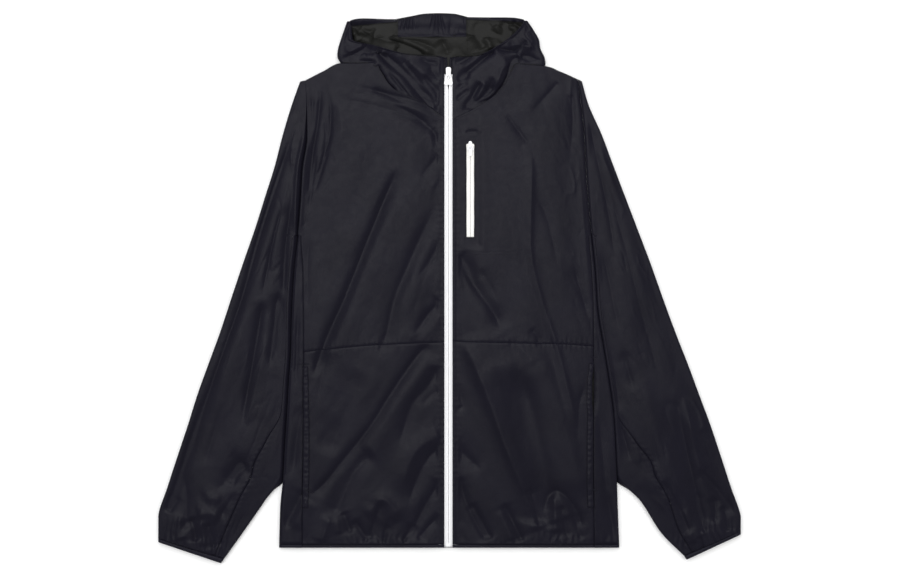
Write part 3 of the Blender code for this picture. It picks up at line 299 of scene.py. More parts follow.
SLEEVE_FOLDS = [
    ([(-215, 253), (-271, 92), (-296, -3), (-323, -82), (-361, -190), (-395, -291), (-407, -325)],
         -2.2, 6, 4, 0.1, 0.1),
    ([(-241, 120), (-257, 55), (-271, -17)], -2.2, 6, 5, 0.2, 0.3),
    ([(-269, -17), (-280, -85), (-302, -209)], -2.6, 6, 5, 0.15, 0.25),
    ([(-246, -3), (-253, -60), (-261, -121)], -2.4, 6, 4.5, 0.2, 0.3),
    ([(-228, 127), (-237, 55), (-241, -17)], -1.6, 4, 4, 0.2, 0.3),
    ([(-292, -251), (-309, -265), (-320, -285)], -2.4, 9, 7, 0.2, 0.3),
    ([(-238, 156), (-271, 40), (-315, -89), (-354, -207)], 1.6, 11, 11, 0.2, 0.3),
    ([(-228, 173), (-250, 76), (-269, -6)], 1.3, 7, 7, 0.2, 0.3),
    ([(-263, -82), (-279, -140), (-294, -204)], 1.1, 6, 6),
    ([(-325, -161), (-343, -219), (-356, -262)], -1, 8, 8),
    ([(-286, -236), (-315, -268), (-341, -301)], -1.4, 12, 9),
    ([(-366, -327), (-348, -325), (-328, -331)], 2.8, 9, 9, 0.25, 0.25),
    ([(-354, -308), (-341, -302), (-329, -310)], 1.6, 8, 9),
    ([(-374, -330), (-369, -346), (-365, -366)], -2, 5, 5, 0.2, 0.1),
    ([(-349, -338), (-345, -354), (-339, -376)], -2, 5, 5, 0.2, 0.1),
    ([(-361, -334), (-356, -351), (-352, -372)], 1.6, 4, 4, 0.2, 0.1),
    ([(-394, -300), (-400, -312), (-405, -325)], -1.6, 4, 5, 0.2, 0.2),
    ([(-384, -262), (-379, -305), (-381, -351)], -1.3, 6, 6, 0.3, 0.1),
    ([(-390, -327), (-388, -346), (-385, -363)], 1.4, 4, 4, 0.2, 0.1),
    ([(-309, -294), (-323, -317), (-333, -334)], -1.2, 7, 6),
    ([(208, 228), (233, 141), (264, 40), (294, -60)], 1.4, 11, 11, 0.2, 0.3),
    ([(222, 170), (251, 69), (280, -46), (310, -156)], -1.3, 8, 9, 0.2, 0.3),
    ([(201, 242), (215, 177), (231, 98), (241, 26)], -1.1, 6, 6, 0.15, 0.3),
    ([(218, 69), (233, -3), (247, -75)], -1, 7, 7),
    ([(250, -89), (258, -120), (267, -150)], -1.1, 5, 5),
    ([(326, -150), (336, -204), (346, -251), (356, -294), (368, -347)], -2.1, 5, 11, 0.2, 0.1),
    ([(336, -150), (348, -204), (358, -251), (368, -294)], 1.4, 5, 5),
    ([(358, -262), (374, -276), (390, -297), (413, -328)], -1.9, 5, 7, 0.2, 0.15),
    ([(240, -181), (253, -219), (261, -252)], -1.1, 4, 5, 0.2, 0.3),
    ([(306, -276), (326, -310), (349, -356)], -1.6, 6, 7, 0.2, 0.1),
    ([(273, -118), (294, -190), (319, -262), (336, -308)], 1.6, 12, 13, 0.25, 0.25),
    ([(382, -300), (384, -320), (382, -340)], -1.7, 4, 5, 0.2, 0.2),
    ([(355, -294), (361, -323), (368, -354)], -1.6, 4, 4, 0.2, 0.1),
    ([(336, -317), (345, -340), (352, -370)], 1.5, 5, 4, 0.2, 0.1),
    ([(394, -314), (400, -331), (402, -351)], -1.5, 4, 4, 0.2, 0.1),
    ([(287, -245), (305, -276), (325, -317)], 1.2, 7, 7, 0.3, 0.2),
    ([(233, -112), (241, -150), (244, -179)], -0.9, 4, 4),
    ([(359, -357), (365, -370), (368, -380)], -1.3, 3, 3, 0.2, 0.1),
]
HOOD_FOLDS = [
    ([(-161, 327), (-139, 334), (-125, 343), (-112, 347)], -4.2, 3, 4, 0.12, 0.05),
    ([(-125, 343), (-113, 346), (-100, 343)], -5, 4, 5, 0.25, 0.25),
    ([(-104, 341), (-93, 331), (-77, 318), (-58, 300), (-44, 284), (-31, 269), (-17, 255)],
         -4.6, 4, 3.5, 0.06, 0.15),
    ([(-96, 341), (-77, 323), (-63, 307), (-48, 289), (-35, 278), (-24, 269)], -2.2, 3, 2.5, 0.08, 0.2),
    ([(-100, 344), (-86, 330), (-70, 312), (-54, 295), (-40, 281), (-24, 265)], 2.2, 2.5, 2.5, 0.1, 0.2),
    ([(-159, 333), (-142, 341), (-126, 348), (-114, 351)], 2.2, 4, 5, 0.15, 0.15),
    ([(-159, 321), (-136, 324), (-116, 327), (-102, 324)], -1.8, 3, 4, 0.1, 0.3),
    ([(-104, 323), (-97, 304), (-89, 292), (-74, 284)], -2.2, 3, 3, 0.1, 0.2),
    ([(-113, 317), (-102, 294), (-84, 279)], -1.2, 3, 3, 0.2, 0.3),
    ([(-90, 314), (-73, 294), (-55, 274)], -1.4, 3, 3),
    ([(-76, 302), (-53, 275), (-27, 253)], 1.2, 3, 3, 0.2, 0.2),
    ([(-64, 328), (-44, 314), (-24, 297)], 2.2, 8, 7, 0.25, 0.3),
    ([(-73, 334), (-53, 311), (-35, 288)], -1.4, 4, 4, 0.25, 0.3),
    ([(-38, 308), (-27, 294), (-15, 282)], -1.2, 3, 3, 0.2, 0.2),
    ([(-44, 333), (-30, 325), (-15, 323)], -1.2, 3, 3, 0.3, 0.2),
    ([(-18, 291), (-17, 276), (-18, 262)], -1.4, 2.5, 2.5, 0.2, 0.2),
    ([(-30, 320), (-21, 308), (-14, 300)], -1, 2.5, 2.5, 0.2, 0.2),
    ([(102, 334), (87, 320), (87, 308), (84, 298), (76, 285), (64, 272), (48, 264), (27, 253)],
         -4.8, 5, 4.5, 0.06, 0.12),
    ([(90, 328), (77, 315), (71, 300), (63, 285)], 2.4, 4, 5, 0.15, 0.3),
    ([(136, 327), (119, 331), (102, 334)], -3, 4, 4, 0.1, 0.1),
    ([(67, 346), (83, 343), (100, 341)], -2.2, 3, 3, 0.15, 0.15),
    ([(67, 343), (48, 330), (25, 311), (8, 297)], -2.4, 3, 3.5, 0.1, 0.2),
    ([(57, 346), (37, 328), (17, 314)], 1.8, 4, 4, 0.2, 0.2),
    ([(45, 297), (34, 278), (25, 258)], -2.4, 3, 3, 0.1, 0.15),
    ([(54, 300), (45, 282), (37, 265)], 1.4, 3, 3, 0.2, 0.2),
    ([(63, 305), (57, 288), (48, 274)], -1.6, 3, 3, 0.2, 0.3),
    ([(68, 294), (45, 274), (17, 256)], -1.8, 3, 3.5, 0.2, 0.2),
    ([(11, 300), (21, 304), (30, 308)], -1.5, 2.5, 2.5, 0.2, 0.3),
    ([(8, 285), (18, 292), (28, 297)], -1.2, 2.5, 2.5, 0.2, 0.3),
    ([(9, 271), (19, 279), (31, 288)], -1.2, 2.5, 2.5, 0.2, 0.3),
    ([(34, 337), (19, 328), (6, 323)], -1.2, 3, 3, 0.2, 0.2),
    ([(130, 343), (114, 348), (97, 350), (83, 348)], 2.2, 5, 5, 0.15, 0.2),
    ([(112, 357), (103, 348), (94, 340)], -1.6, 4, 4, 0.2, 0.3),
    ([(120, 351), (126, 343), (132, 334)], -1.3, 4, 4, 0.2, 0.3),
    ([(89, 366), (80, 354), (68, 346)], -1.4, 4, 4, 0.2, 0.2),
]
LINING_FOLDS = [
    ([(83, 386), (77, 374), (80, 363), (90, 357)], -2.8, 4, 4, 0.1, 0.2),
    ([(91, 387), (100, 377), (109, 366)], -2.6, 4, 4, 0.15, 0.2),
    ([(68, 380), (77, 372), (91, 367)], 2, 3, 4, 0.2, 0.2),
    ([(76, 366), (87, 361), (100, 361)], -2.4, 3, 3.5, 0.2, 0.2),
    ([(84, 380), (91, 374), (97, 367)], 2.2, 3, 3, 0.2, 0.2),
    ([(-149, 374), (-140, 376), (-132, 370), (-130, 360)], -2.8, 3.5, 4, 0.1, 0.2),
    ([(-142, 367), (-135, 363), (-129, 356)], 2.2, 3, 3, 0.2, 0.2),
    ([(-129, 380), (-119, 376), (-109, 373)], -2.2, 3, 3, 0.2, 0.3),
    ([(-142, 380), (-127, 379), (-107, 380), (-86, 377)], -2.2, 4, 4, 0.2, 0.3),
    ([(-113, 370), (-96, 367), (-76, 361)], -1.6, 4, 4, 0.2, 0.3),
    ([(-143, 377), (-136, 367), (-125, 360)], 1.8, 4, 5, 0.2, 0.3),
    ([(-152, 380), (-146, 370), (-136, 357)], -2.6, 5, 5, 0.1, 0.2),
    ([(-133, 376), (-122, 367), (-104, 361)], -1.8, 4, 4, 0.2, 0.2),
    ([(-153, 372), (-145, 363), (-133, 356)], -1.6, 4, 4, 0.2, 0.3),
    ([(-113, 363), (-96, 360), (-67, 353), (-34, 334)], -2.8, 4, 6, 0.1, 0.1),
    ([(-94, 363), (-55, 351), (-21, 337)], 2, 6, 5, 0.2, 0.2),
    ([(-80, 346), (-61, 340), (-40, 334)], -1.6, 4, 5, 0.2, 0.2),
    ([(-76, 361), (-47, 356), (-15, 343)], -1.3, 4, 6, 0.2, 0.3),
    ([(37, 367), (44, 357), (50, 344)], -2.6, 4, 5, 0.1, 0.2),
    ([(51, 363), (57, 354), (60, 343)], 1.8, 4, 4, 0.2, 0.2),
    ([(42, 363), (60, 367), (74, 363), (80, 354)], -2.2, 4, 4, 0.15, 0.2),
    ([(77, 383), (83, 374), (89, 364)], -2.4, 5, 5, 0.1, 0.2),
    ([(94, 383), (91, 372), (83, 360)], -2.2, 4, 4, 0.15, 0.2),
    ([(90, 380), (97, 373), (103, 366)], 1.4, 3, 4, 0.2, 0.3),
    ([(63, 380), (71, 369), (77, 357)], 1.5, 4, 5, 0.2, 0.3),
    ([(34, 380), (48, 374), (63, 376)], -1.5, 4, 4, 0.2, 0.3),
    ([(-15, 360), (-6, 348), (-1, 334)], -1.2, 7, 7),
]
BACK_FOLDS = [
    ([(-174, 199), (-152, 84), (-142, -32)], 1.2, 8, 14),
    ([(-73, 242), (-84, 127), (-113, -3), (-145, -118)], 1.5, 16, 8),
    ([(-8, 285), (-5, 184), (-15, 69)], 0.9, 10, 10),
    ([(71, 228), (89, 112), (114, -17), (146, -132)], 1.4, 8, 16),
    ([(158, 213), (152, 127), (158, 40)], 1.1, 7, 9),
    ([(-217, -60), (-174, -161), (-142, -262)], 1.3, 12, 8),
    ([(14, -17), (-15, -132), (-73, -262)], 1.2, 10, 14),
    ([(28, -60), (71, -176), (100, -305)], 1.2, 14, 10),
    ([(215, -75), (186, -190), (158, -276)], 1.2, 8, 12),
    ([(-188, -291), (-174, -327), (-168, -370)], 1.4, 5, 6, 0.3, 0.05),
    ([(-127, -305), (-122, -334), (-113, -372)], 1.3, 5, 5, 0.3, 0.05),
    ([(-55, -298), (-61, -334), (-70, -372)], 1.3, 6, 5, 0.3, 0.05),
    ([(6, -312), (11, -341), (17, -372)], 1.2, 5, 5, 0.3, 0.05),
    ([(68, -302), (74, -334), (83, -372)], 1.3, 5, 6, 0.3, 0.05),
    ([(140, -305), (135, -337), (126, -372)], 1.4, 5, 5, 0.3, 0.05),
    ([(201, -314), (204, -343), (210, -372)], 1.2, 5, 5, 0.3, 0.05),
]
# The cut of each panel as it shows, in metres: widest, longest and flat area.
CUTS = {
    "back_cloth": (0.569, 0.704, 0.3237),
    "front_right_upper_cloth": (0.238, 0.417, 0.0793),
    "front_right_lower_cloth": (0.22, 0.296, 0.0595),
    "front_left_upper_cloth": (0.219, 0.407, 0.0736),
    "front_left_lower_cloth": (0.218, 0.294, 0.06),
    "pocket_welt_right_cloth": (0.0105, 0.207, 0.0018),
    "pocket_welt_left_cloth": (0.0105, 0.212, 0.0018),
    "sleeve_right_upper_cloth": (0.226, 0.715, 0.1049),
    "sleeve_right_under_cloth": (0.095, 0.498, 0.0252),
    "sleeve_left_upper_cloth": (0.217, 0.72, 0.1016),
    "sleeve_left_under_cloth": (0.104, 0.506, 0.0247),
    "cuff_right_binding": (0.211, 0.0105, 0.0012),
    "hem_right_binding": (0.215, 0.0105, 0.0009),
    "cuff_left_binding": (0.19, 0.0105, 0.001),
    "hem_left_binding": (0.214, 0.0105, 0.0009),
    "hem_back_binding": (0.571, 0.0105, 0.0025),
    "hood_right_cloth": (0.205, 0.242, 0.0155),
    "hood_left_cloth": (0.286, 0.206, 0.0181),
    "hood_centre_cloth": (0.105, 0.095, 0.0094),
    "hood_brim_facing_cloth": (0.105, 0.034, 0.0032),
}
# Plates of the sliders, with their start and end along the zip, their heights and their half width.
SLIDER_PARTS = [
    Plate("zip_slider_bar", 301.15, 304.85, 7.3, 8.1, BAIL_HALF),
    Plate("zip_slider_leg_back", 301.15, 301.95, 5.2, 7.7, BAIL_HALF),
    Plate("zip_slider_leg_front", 304.05, 304.85, 5.2, 7.7, BAIL_HALF),
    Plate("zip_slider_post", 300.0, 306.5, 1.6, 4.6, 0.6),
    Plate("zip_slider_under", 293.0, 307.0, 1.3, 2.2, 4.6),
]
CHEST_SLIDER_PARTS = [
    Plate("chest_slider_bar", CHEST_SLIDER_AXIS - 1.85, CHEST_SLIDER_AXIS + 1.85, 9.9, 10.7, BAIL_HALF),
    Plate("chest_slider_leg_back", CHEST_SLIDER_AXIS - 1.85, CHEST_SLIDER_AXIS - 1.05, 7.6, 10.3, BAIL_HALF),
    Plate("chest_slider_leg_front", CHEST_SLIDER_AXIS + 1.05, CHEST_SLIDER_AXIS + 1.85, 7.6, 10.3, BAIL_HALF),
]
# Bartacks at the ends of the hand pockets.
TACKS = [
    Tack(-210.0, -109.4, 7.0, 0.0), Tack(-202.0, -292.5, 5.0, -0.4), Tack(208.5, -99.5, 3.6, 0.0),
    Tack(208.0, -291.0, 3.6, 0.0),
]
# Area lights: where each stands and aims, its size in metres and its power in watts.
LIGHTS = [
    Light("overhead", (-0.53, 1.18, 3.6), (-0.53, 1.18, 0.0), (2.55, 2.85), 54.0, True),
    Light("beyond_hood", (0.0, 2.6, 1.6), (0.0, 0.0, 0.0), (3.0, 1.4), 46.0, False),
    Light("beyond_hem", (0.0, -2.6, 1.2), (0.0, 0.0, 0.0), (3.0, 1.2), 24.0, False),
    Light("beside_right", (-2.4, 0.0, 1.5), (0.0, 0.0, 0.0), (2.4, 2.0), 43.0, False),
    Light("beside_left", (2.4, 0.0, 1.5), (0.0, 0.0, 0.0), (2.4, 2.0), 43.0, False),
]


def linear(code):
    """An sRGB hex colour as linear red, green and blue."""
    parts = [int(code[k : k + 2], 16) / 255 for k in (1, 3, 5)]
    return tuple(c / 12.92 if c <= 0.04045 else ((c + 0.055) / 1.055) ** 2.4 for c in parts)


def colour_setting(name, description, code):
    """A colour that the user may change."""
    return bpy.props.FloatVectorProperty(
        name=name, description=description, default=linear(code), subtype="COLOR", size=3, min=0.0, max=1.0
    )


class JacketLooks(bpy.types.PropertyGroup):
    """Sizes and colours that a user may change before the pieces are made."""

    wall: bpy.props.FloatProperty(
        name="Cloth wall", description="Thickness of one layer of cloth", default=0.8 * MM, min=0.2 * MM,
        subtype="DISTANCE", unit="LENGTH",
    )
    fold_scale: bpy.props.FloatProperty(
        name="Fold height", description="How high the folds and gathers stand", default=1.0, min=0.0, max=1.5,
        subtype="FACTOR",
    )
    stitch_pitch: bpy.props.FloatProperty(
        name="Stitch pitch", description="Distance from one stitch to the next", default=3.0 * MM,
        subtype="DISTANCE", unit="LENGTH",
    )
    shell: colour_setting("Shell", "Colour of the cloth's face", "#15141D")
    reverse: colour_setting("Reverse", "Colour of the coated back of the cloth", "#191918")
    white: colour_setting("Zips", "Colour of the zips' tapes and sliders", "#F2F2F4")
    floor: colour_setting("Floor", "Colour of the studio floor", "#FAFAFA")


# Numbers in rows, and smooth curves through them.


def between(a, b, part):
    """The value that lies that part of the way from a to b."""
    return a + (b - a) * part


def smooth(value):
    """An eased step from 0 to 1 while the value goes from 0 to 1."""
    value = np.clip(value, 0.0, 1.0)
    return value * value * (3 - 2 * value)


def spaced(first, last, step):
    """Even steps of about that size, with both ends."""
    return np.linspace(first, last, max(round(abs(last - first) / step), 1) + 1)


class Curve:
    """A table's columns as smooth curves over the row number, which never overshoot a row."""

    def __init__(self, rows):
        self.rows = np.array(rows, float)
        step = np.diff(self.rows, axis=0)
        same = step[1:] * step[:-1] > 0
        total = np.where(same, step[1:] + step[:-1], 1.0)
        inner = np.where(same, 2 * step[1:] * step[:-1] / total, 0.0)
        self.slopes = np.vstack([step[:1], inner, step[-1:]])
        self.last = len(rows) - 1

    def at(self, position):
        """Each column's value at a row number, which may lie between two rows."""
        position = np.asarray(position, float)
        low = np.clip(position.astype(int), 0, self.last - 1)
        part = (position - low)[..., None]
        rise = self.rows[low + 1] - self.rows[low]
        value = self.rows[low] + rise * part * part * (3 - 2 * part)
        value += self.slopes[low] * part * (1 - part) ** 2 - self.slopes[low + 1] * part * part * (1 - part)
        return np.moveaxis(value, -1, 0)


SIDES = {side: Curve(rows) for side, rows in SIDE.items()}
SLEEVES = {side: Curve(rows) for side, rows in SLEEVE.items()}
HOODS = {side: Curve(rows) for side, rows in HOOD.items()}
NECKS = {side: Curve(rows) for side, rows in NECK.items()}
WAISTS = {side: Curve(rows) for side, rows in WAIST.items()}
BACK_TOPS, BRIMS = Curve(BACK_TOP), Curve(BRIM)
OUT = {"right": -1, "left": 1}  # the way out from the middle on each side


def field(x, y, size, seed):
    """Soft noise from -1 to 1 over places, with bumps of about that size."""
    x, y = np.broadcast_arrays(x, y)
    pairs = zip((x / size).ravel().tolist(), (y / size).ravel().tolist())
    return np.array([noise.noise((a, b, seed)) for a, b in pairs]).reshape(x.shape)


def fold_rise(folds, x, y):
    """Height that the folds add: each follows its own way, with its own slope on either hand.

    A narrow flank leaves a sharp crease and a wide one is round.
    """
    x, y = np.broadcast_arrays(np.asarray(x, float), np.asarray(y, float))
    total = np.zeros(x.shape)
    for number, fold in enumerate(Fold(*values) for values in folds):
        valley = fold.rise < 0
        spread, crest = (1.05, 0.5) if valley else (1.2, 0.9)
        way_x, way_y = Curve(fold.way).at(spaced(0, len(fold.way) - 1, 0.34))
        reach = 3.2 * spread * max(fold.left, fold.right)
        near = (x > way_x.min() - reach) & (x < way_x.max() + reach)
        near &= (y > way_y.min() - reach) & (y < way_y.max() + reach)
        if not near.any():
            continue
        px, py = x[near], y[near]
        best, hand, along = np.full(px.shape, np.inf), np.zeros(px.shape), np.zeros(px.shape)
        pieces = len(way_x) - 1
        for k in range(pieces):
            dx, dy = way_x[k + 1] - way_x[k], way_y[k + 1] - way_y[k]
            part = np.clip(((px - way_x[k]) * dx + (py - way_y[k]) * dy) / (dx * dx + dy * dy), 0, 1)
            off_x, off_y = px - way_x[k] - part * dx, py - way_y[k] - part * dy
            off = np.hypot(off_x, off_y)
            closer = off < best
            best = np.where(closer, off, best)
            hand = np.where(closer, dx * off_y - dy * off_x, hand)
            along = np.where(closer, (k + part) / pieces, along)
        width = spread * np.where(hand > 0, fold.left, fold.right)
        power = fold.sharp or np.clip(width / 8, 1.0, 2.0)
        across = np.exp(-(((np.hypot(best, crest) - crest) / width) ** power))
        ends = smooth(along / fold.start) * smooth((1 - along) / fold.end)
        uneven = 1 + 0.25 * np.sin(9 * along + 2.4 * number) * (1 - along)
        total[near] += fold.rise * (1.3 if valley else 0.9) * across * ends * uneven
    return total


def crumple(x, y, lean, seed):
    """The cloth's own unrest: long soft swells that lean, and short ones between them."""
    across = x * math.cos(lean) + y * math.sin(lean)
    along = y * math.cos(lean) - x * math.sin(lean)
    swell = 0.75 * field(across / 34, along / 95, 1.0, seed)
    small = 0.22 * field(across / 11, along / 30, 1.0, seed + 7.3)
    return swell + small + 0.04 * field(x, y, 6.0, seed + 3.1)


def creases(x, y, lean, seed):
    """Sharp little creases that run with the lean, in patches: thin nylon never lies quite smooth."""
    across = x * math.cos(lean) + y * math.sin(lean)
    along = y * math.cos(lean) - x * math.sin(lean)
    total = 0.0
    for wide, long, high in ((19.0, 62.0, 0.55), (10.0, 30.0, 0.26)):
        line = field(across / wide, along / long, 1.0, seed + wide)
        patch = np.clip(0.3 + 1.5 * field(x, y, 46.0, seed + wide + 5.1), 0.0, 1.0)
        way = np.tanh(5 * field(x, y, 65.0, seed + 9.7) - 0.3)
        total = total + high * patch * way * np.exp(-((np.abs(line) / 0.12) ** 1.3))
    return total


def dip(distance, depth=0.8, width=1.5):
    """The small valley of a seam."""
    return -depth * np.exp(-((distance / width) ** 2))


def pucker(distance, along, seed, rise=0.35, reach=8.0, pitch=7.5):
    """Short wrinkles that a line of sewing pulls up across itself, unevenly spaced."""
    turn = 2 * math.pi * along / pitch + 2.4 * field(along, 0, 17.0, seed)
    strength = 0.6 + 0.6 * field(along, 0, 40.0, seed + 2)
    return rise * strength * np.sin(turn) * np.exp(-((distance / reach) ** 2)) * smooth(distance / 1.2)


def gather(along, seed, pitch):
    """Elastic gathers: round ridges with narrow valleys, from -1 to 1."""
    turn = math.pi * along / pitch + 1.7 * field(along, 0, 24.0, seed)
    return 2 * np.abs(np.sin(turn)) ** 0.8 - 1


# Where the body's panels lie.


def body_edge(side, y):
    """The body's outer edge at a height on the garment."""
    rows = SIDES[side].rows[::-1]
    return np.interp(y, rows[:, 0], rows[:, 1])


def waist_y(side, x):
    """Where the waist seam runs."""
    rows = WAISTS[side].rows
    order = rows[:, 0].argsort()
    return np.interp(x, rows[order, 0], rows[order, 1])


def front_place(side, across, down):
    """A place on the upper front: across runs over the neck table, down over the side table."""
    neck, waist = NECKS[side], WAISTS[side]
    part, fall = across / neck.last, down / WAIST_ROW
    (neck_x, neck_y), (waist_x, waist_y_) = neck.at(across), waist.at(part * waist.last)
    x, y = between(neck_x, waist_x, fall), between(neck_y, waist_y_, fall)
    side_y, edge, seam = SIDES[side].at(down)
    started = smooth(down / 0.5)
    edge_x = between(neck.rows[-1][0], np.where(down < UNDERARM_ROW, edge, seam), started)
    edge_y = between(neck.rows[-1][1], side_y, started)
    chord_x = between(neck.rows[-1][0], waist.rows[-1][0], fall)
    chord_y = between(neck.rows[-1][1], waist.rows[-1][1], fall)
    return x + (edge_x - chord_x) * smooth(part), y + (edge_y - chord_y) * part


def lower_place(side, part, down):
    """A place on the lower front: part runs from the zip to the side seam, down over the side table."""
    waist = WAISTS[side]
    top_x, top_y = waist.at(part * waist.last)
    fall = (down - WAIST_ROW) / (HEM_ROW - WAIST_ROW)
    side_y, _, seam = SIDES[side].at(down)
    hem_y = SIDES[side].rows[HEM_ROW][0]
    sag = side_y - between(waist.rows[-1][1], hem_y, fall)
    x = between(top_x, between(waist.rows[0][0], seam, part), smooth(2 * fall))
    return x, between(top_y, hem_y, fall) + sag * part


def front_height(x, y):
    """Outer face of the whole front: air between its edges, folds, the hem's gathers and the seams."""
    scale = looks().fold_scale
    right = x < ZIP_CENTRE
    from_zip = np.abs(x - ZIP_CENTRE)
    edge = np.where(right, -body_edge("right", y), body_edge("left", y))
    inside = edge - np.abs(x)
    calm = smooth((from_zip - ZIP_HALF - 1.5) / 9) * smooth((inside - FOLD) / 8)
    beside = np.maximum(np.maximum(np.abs(x - CHEST_X), CHEST_FOOT - y), y - CHEST_TOP) - 8
    calm = calm * smooth(beside / 12)
    puff = PUFF * smooth((from_zip - 10) / 45) * smooth((inside - 6) / 45)
    waist = np.where(right, waist_y("right", x), waist_y("left", x))
    near_hem = y - SIDE["right"][HEM_ROW][0]
    drawn_up = 0.0
    for near in ((from_zip - 10) / 24, near_hem / 34, inside / 30, np.abs(y - waist) / 16):
        drawn_up = np.maximum(drawn_up, np.exp(-(np.clip(near, 0, 5) ** 2)))
    folds = fold_rise(FRONT_FOLDS, x, y) + crumple(x, y, 0.0, 1.7) * 0.4
    folds = folds + np.where(right, crumple(x, y, -0.5, 2.2), crumple(x, y, 0.35, 4.9))
    small = np.where(right, creases(x, y, -0.55, 3.7), creases(x, y, 0.3, 8.4))
    folds = folds + small * (0.35 + 1.5 * drawn_up)
    reach = 22 + 10 * field(x, 0, 31.0, 5.5)
    uneven = np.clip(0.75 + 1.3 * field(x, y, 26.0, 5.7), 0.15, 1.3)
    drawn = 1.5 * smooth(1 - near_hem / reach) * uneven * gather(x + 7 * field(x, y, 15.0, 1.9), 3.3, 9.4)
    drawn = drawn * (0.65 + 0.6 * field(x, 0, 43.0, 8.1)) * smooth((from_zip - 8) / 12)
    z = LAY + scale * (puff * smooth(beside / 12) + calm * (folds + drawn))
    off_ends = smooth((inside - 2) / 5) * smooth((from_zip - 8) / 8)
    z += 0.7 * scale * off_ends * pucker(np.abs(y - waist), x, 6.1)
    z += dip(y - waist, 0.45, 1.2) * smooth((inside - 2) / 3)
    z += scale * pucker(from_zip - ZIP_HALF, y, 9.4, 0.4, 9.0, 8.6)
    lowest = between(TAPE_TOP + 1.1, 2.3, smooth((from_zip - TAPE_HALF) / 5))
    return soft_max(z, lowest)


def soft_max(value, least):
    """The value, eased so that it never goes under the least one."""
    return least + 0.25 * np.logaddexp(0.0, (value - least) / 0.25)


def edge_lip(distance):
    """A folded and topstitched edge: it stands up a little and dips at the stitching."""
    return 0.35 * np.exp(-(((distance - 2.2) / 1.6) ** 2)) - 0.3 * np.exp(-(((distance - 5.4) / 1.0) ** 2))


# Making meshes.


def looks():
    """The settings in the sidebar."""
    return bpy.context.scene.windbreaker_looks


def stack(x, y, z):
    """Places from their three numbers, each one value or a grid."""
    return np.stack(np.broadcast_arrays(np.asarray(x, float), y, z), -1)


def grid_mesh(name, places, turned=False, closed=False):
    """A mesh through rows and columns of places, with its lengths as UV. Blank places are left out."""
    if closed:
        places = np.hstack([places, places[:, :1]])
    rows, columns = places.shape[:2]
    there = ~np.isnan(places[..., 2])
    number = np.full((rows, columns), -1)
    if closed:
        number[:, :-1] = np.arange(rows * (columns - 1)).reshape(rows, columns - 1)
        number[:, -1] = number[:, 0]
        vertices = places[:, :-1].reshape(-1, 3)
    else:
        number[there] = np.arange(there.sum())
        vertices = places[there]
    spot = np.arange(rows * columns).reshape(rows, columns)
    quads = np.stack([spot[:-1, :-1], spot[:-1, 1:], spot[1:, 1:], spot[1:, :-1]], -1).reshape(-1, 4)
    quads = quads[(number.ravel()[quads] >= 0).all(1)]
    if turned:
        quads = quads[:, ::-1]
    steps = np.nan_to_num(np.linalg.norm(np.diff(places, axis=1), axis=2))
    falls = np.nan_to_num(np.linalg.norm(np.diff(places, axis=0), axis=2))
    u = np.hstack([np.zeros((rows, 1)), steps.cumsum(1)])
    v = np.vstack([np.zeros((1, columns)), falls.cumsum(0)])
    mesh = bpy.data.meshes.new(name)
    mesh.from_pydata((vertices * MM).tolist(), [], number.ravel()[quads].tolist())
    uv = np.stack([u.ravel()[quads.ravel()], v.ravel()[quads.ravel()]], -1) * MM
    layer = mesh.uv_layers.new(name="cloth")
    layer.data.foreach_set("uv", uv.ravel())
    mesh.shade_smooth()
    return mesh


def new_piece(name, mesh, materials, nodes, body="jacket"):
    """Puts a finished mesh into the scene as a piece that stands for CAD nodes and rides on a body."""
    made = bpy.data.objects.new(name, mesh)
    bpy.context.scene.collection.objects.link(made)
    for material in materials:
        mesh.materials.append(material)
    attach(made, body)
    if nodes:
        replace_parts(made, *nodes)
    return made


def thicken(made, wall):
    """Gives a surface its wall, inwards from the outer face."""
    thick = made.modifiers.new("wall", "SOLIDIFY")
    thick.thickness, thick.offset = wall, -1
    return thick


def panel(name, places, solid, turned=False, closed=False, materials=None, wall=None):
    """A panel of cloth: a thin wall with its face outside and the coated reverse inside."""
    mesh = grid_mesh(name, places, turned, closed)
    materials = materials or [taffeta(), coated_reverse()]
    made = new_piece(name, mesh, materials, [solid])
    thick = thicken(made, looks().wall if wall is None else wall * MM)
    thick.material_offset = len(materials) - 1
    width, length, area = CUTS[name]
    return made


# Materials.


def node(tree, kind, inputs=(), **settings):
    """Adds a node with its settings; an input is a value, or another node's socket to link from."""
    made = tree.nodes.new(kind)
    for key, value in settings.items():
        setattr(made, key, value)
    for key, value in dict(inputs).items():
        if isinstance(value, bpy.types.NodeSocket):
            tree.links.new(value, made.inputs[key])
        else:
            made.inputs[key].default_value = value
    return made


def new_material(name, **constants):
    """A named material with its constants on the shader's own sockets."""
    made = bpy.data.materials.new(name)
    made.use_nodes = True
    shader = made.node_tree.nodes["Principled BSDF"]
    for key, value in constants.items():
        shader.inputs[key.replace("_", " ").title().replace("Ior", "IOR")].default_value = value
    return made, made.node_tree, shader


def band_scale(period):
    """Scale of a wave texture whose bands repeat after so many millimetres of UV."""
    return 2 * math.pi / 20 / (period * MM)


def tint(colour, factor):
    """A colour made that many times as bright, with the opacity that a colour socket wants."""
    return (*(min(c * factor, 1.0) for c in colour), 1)


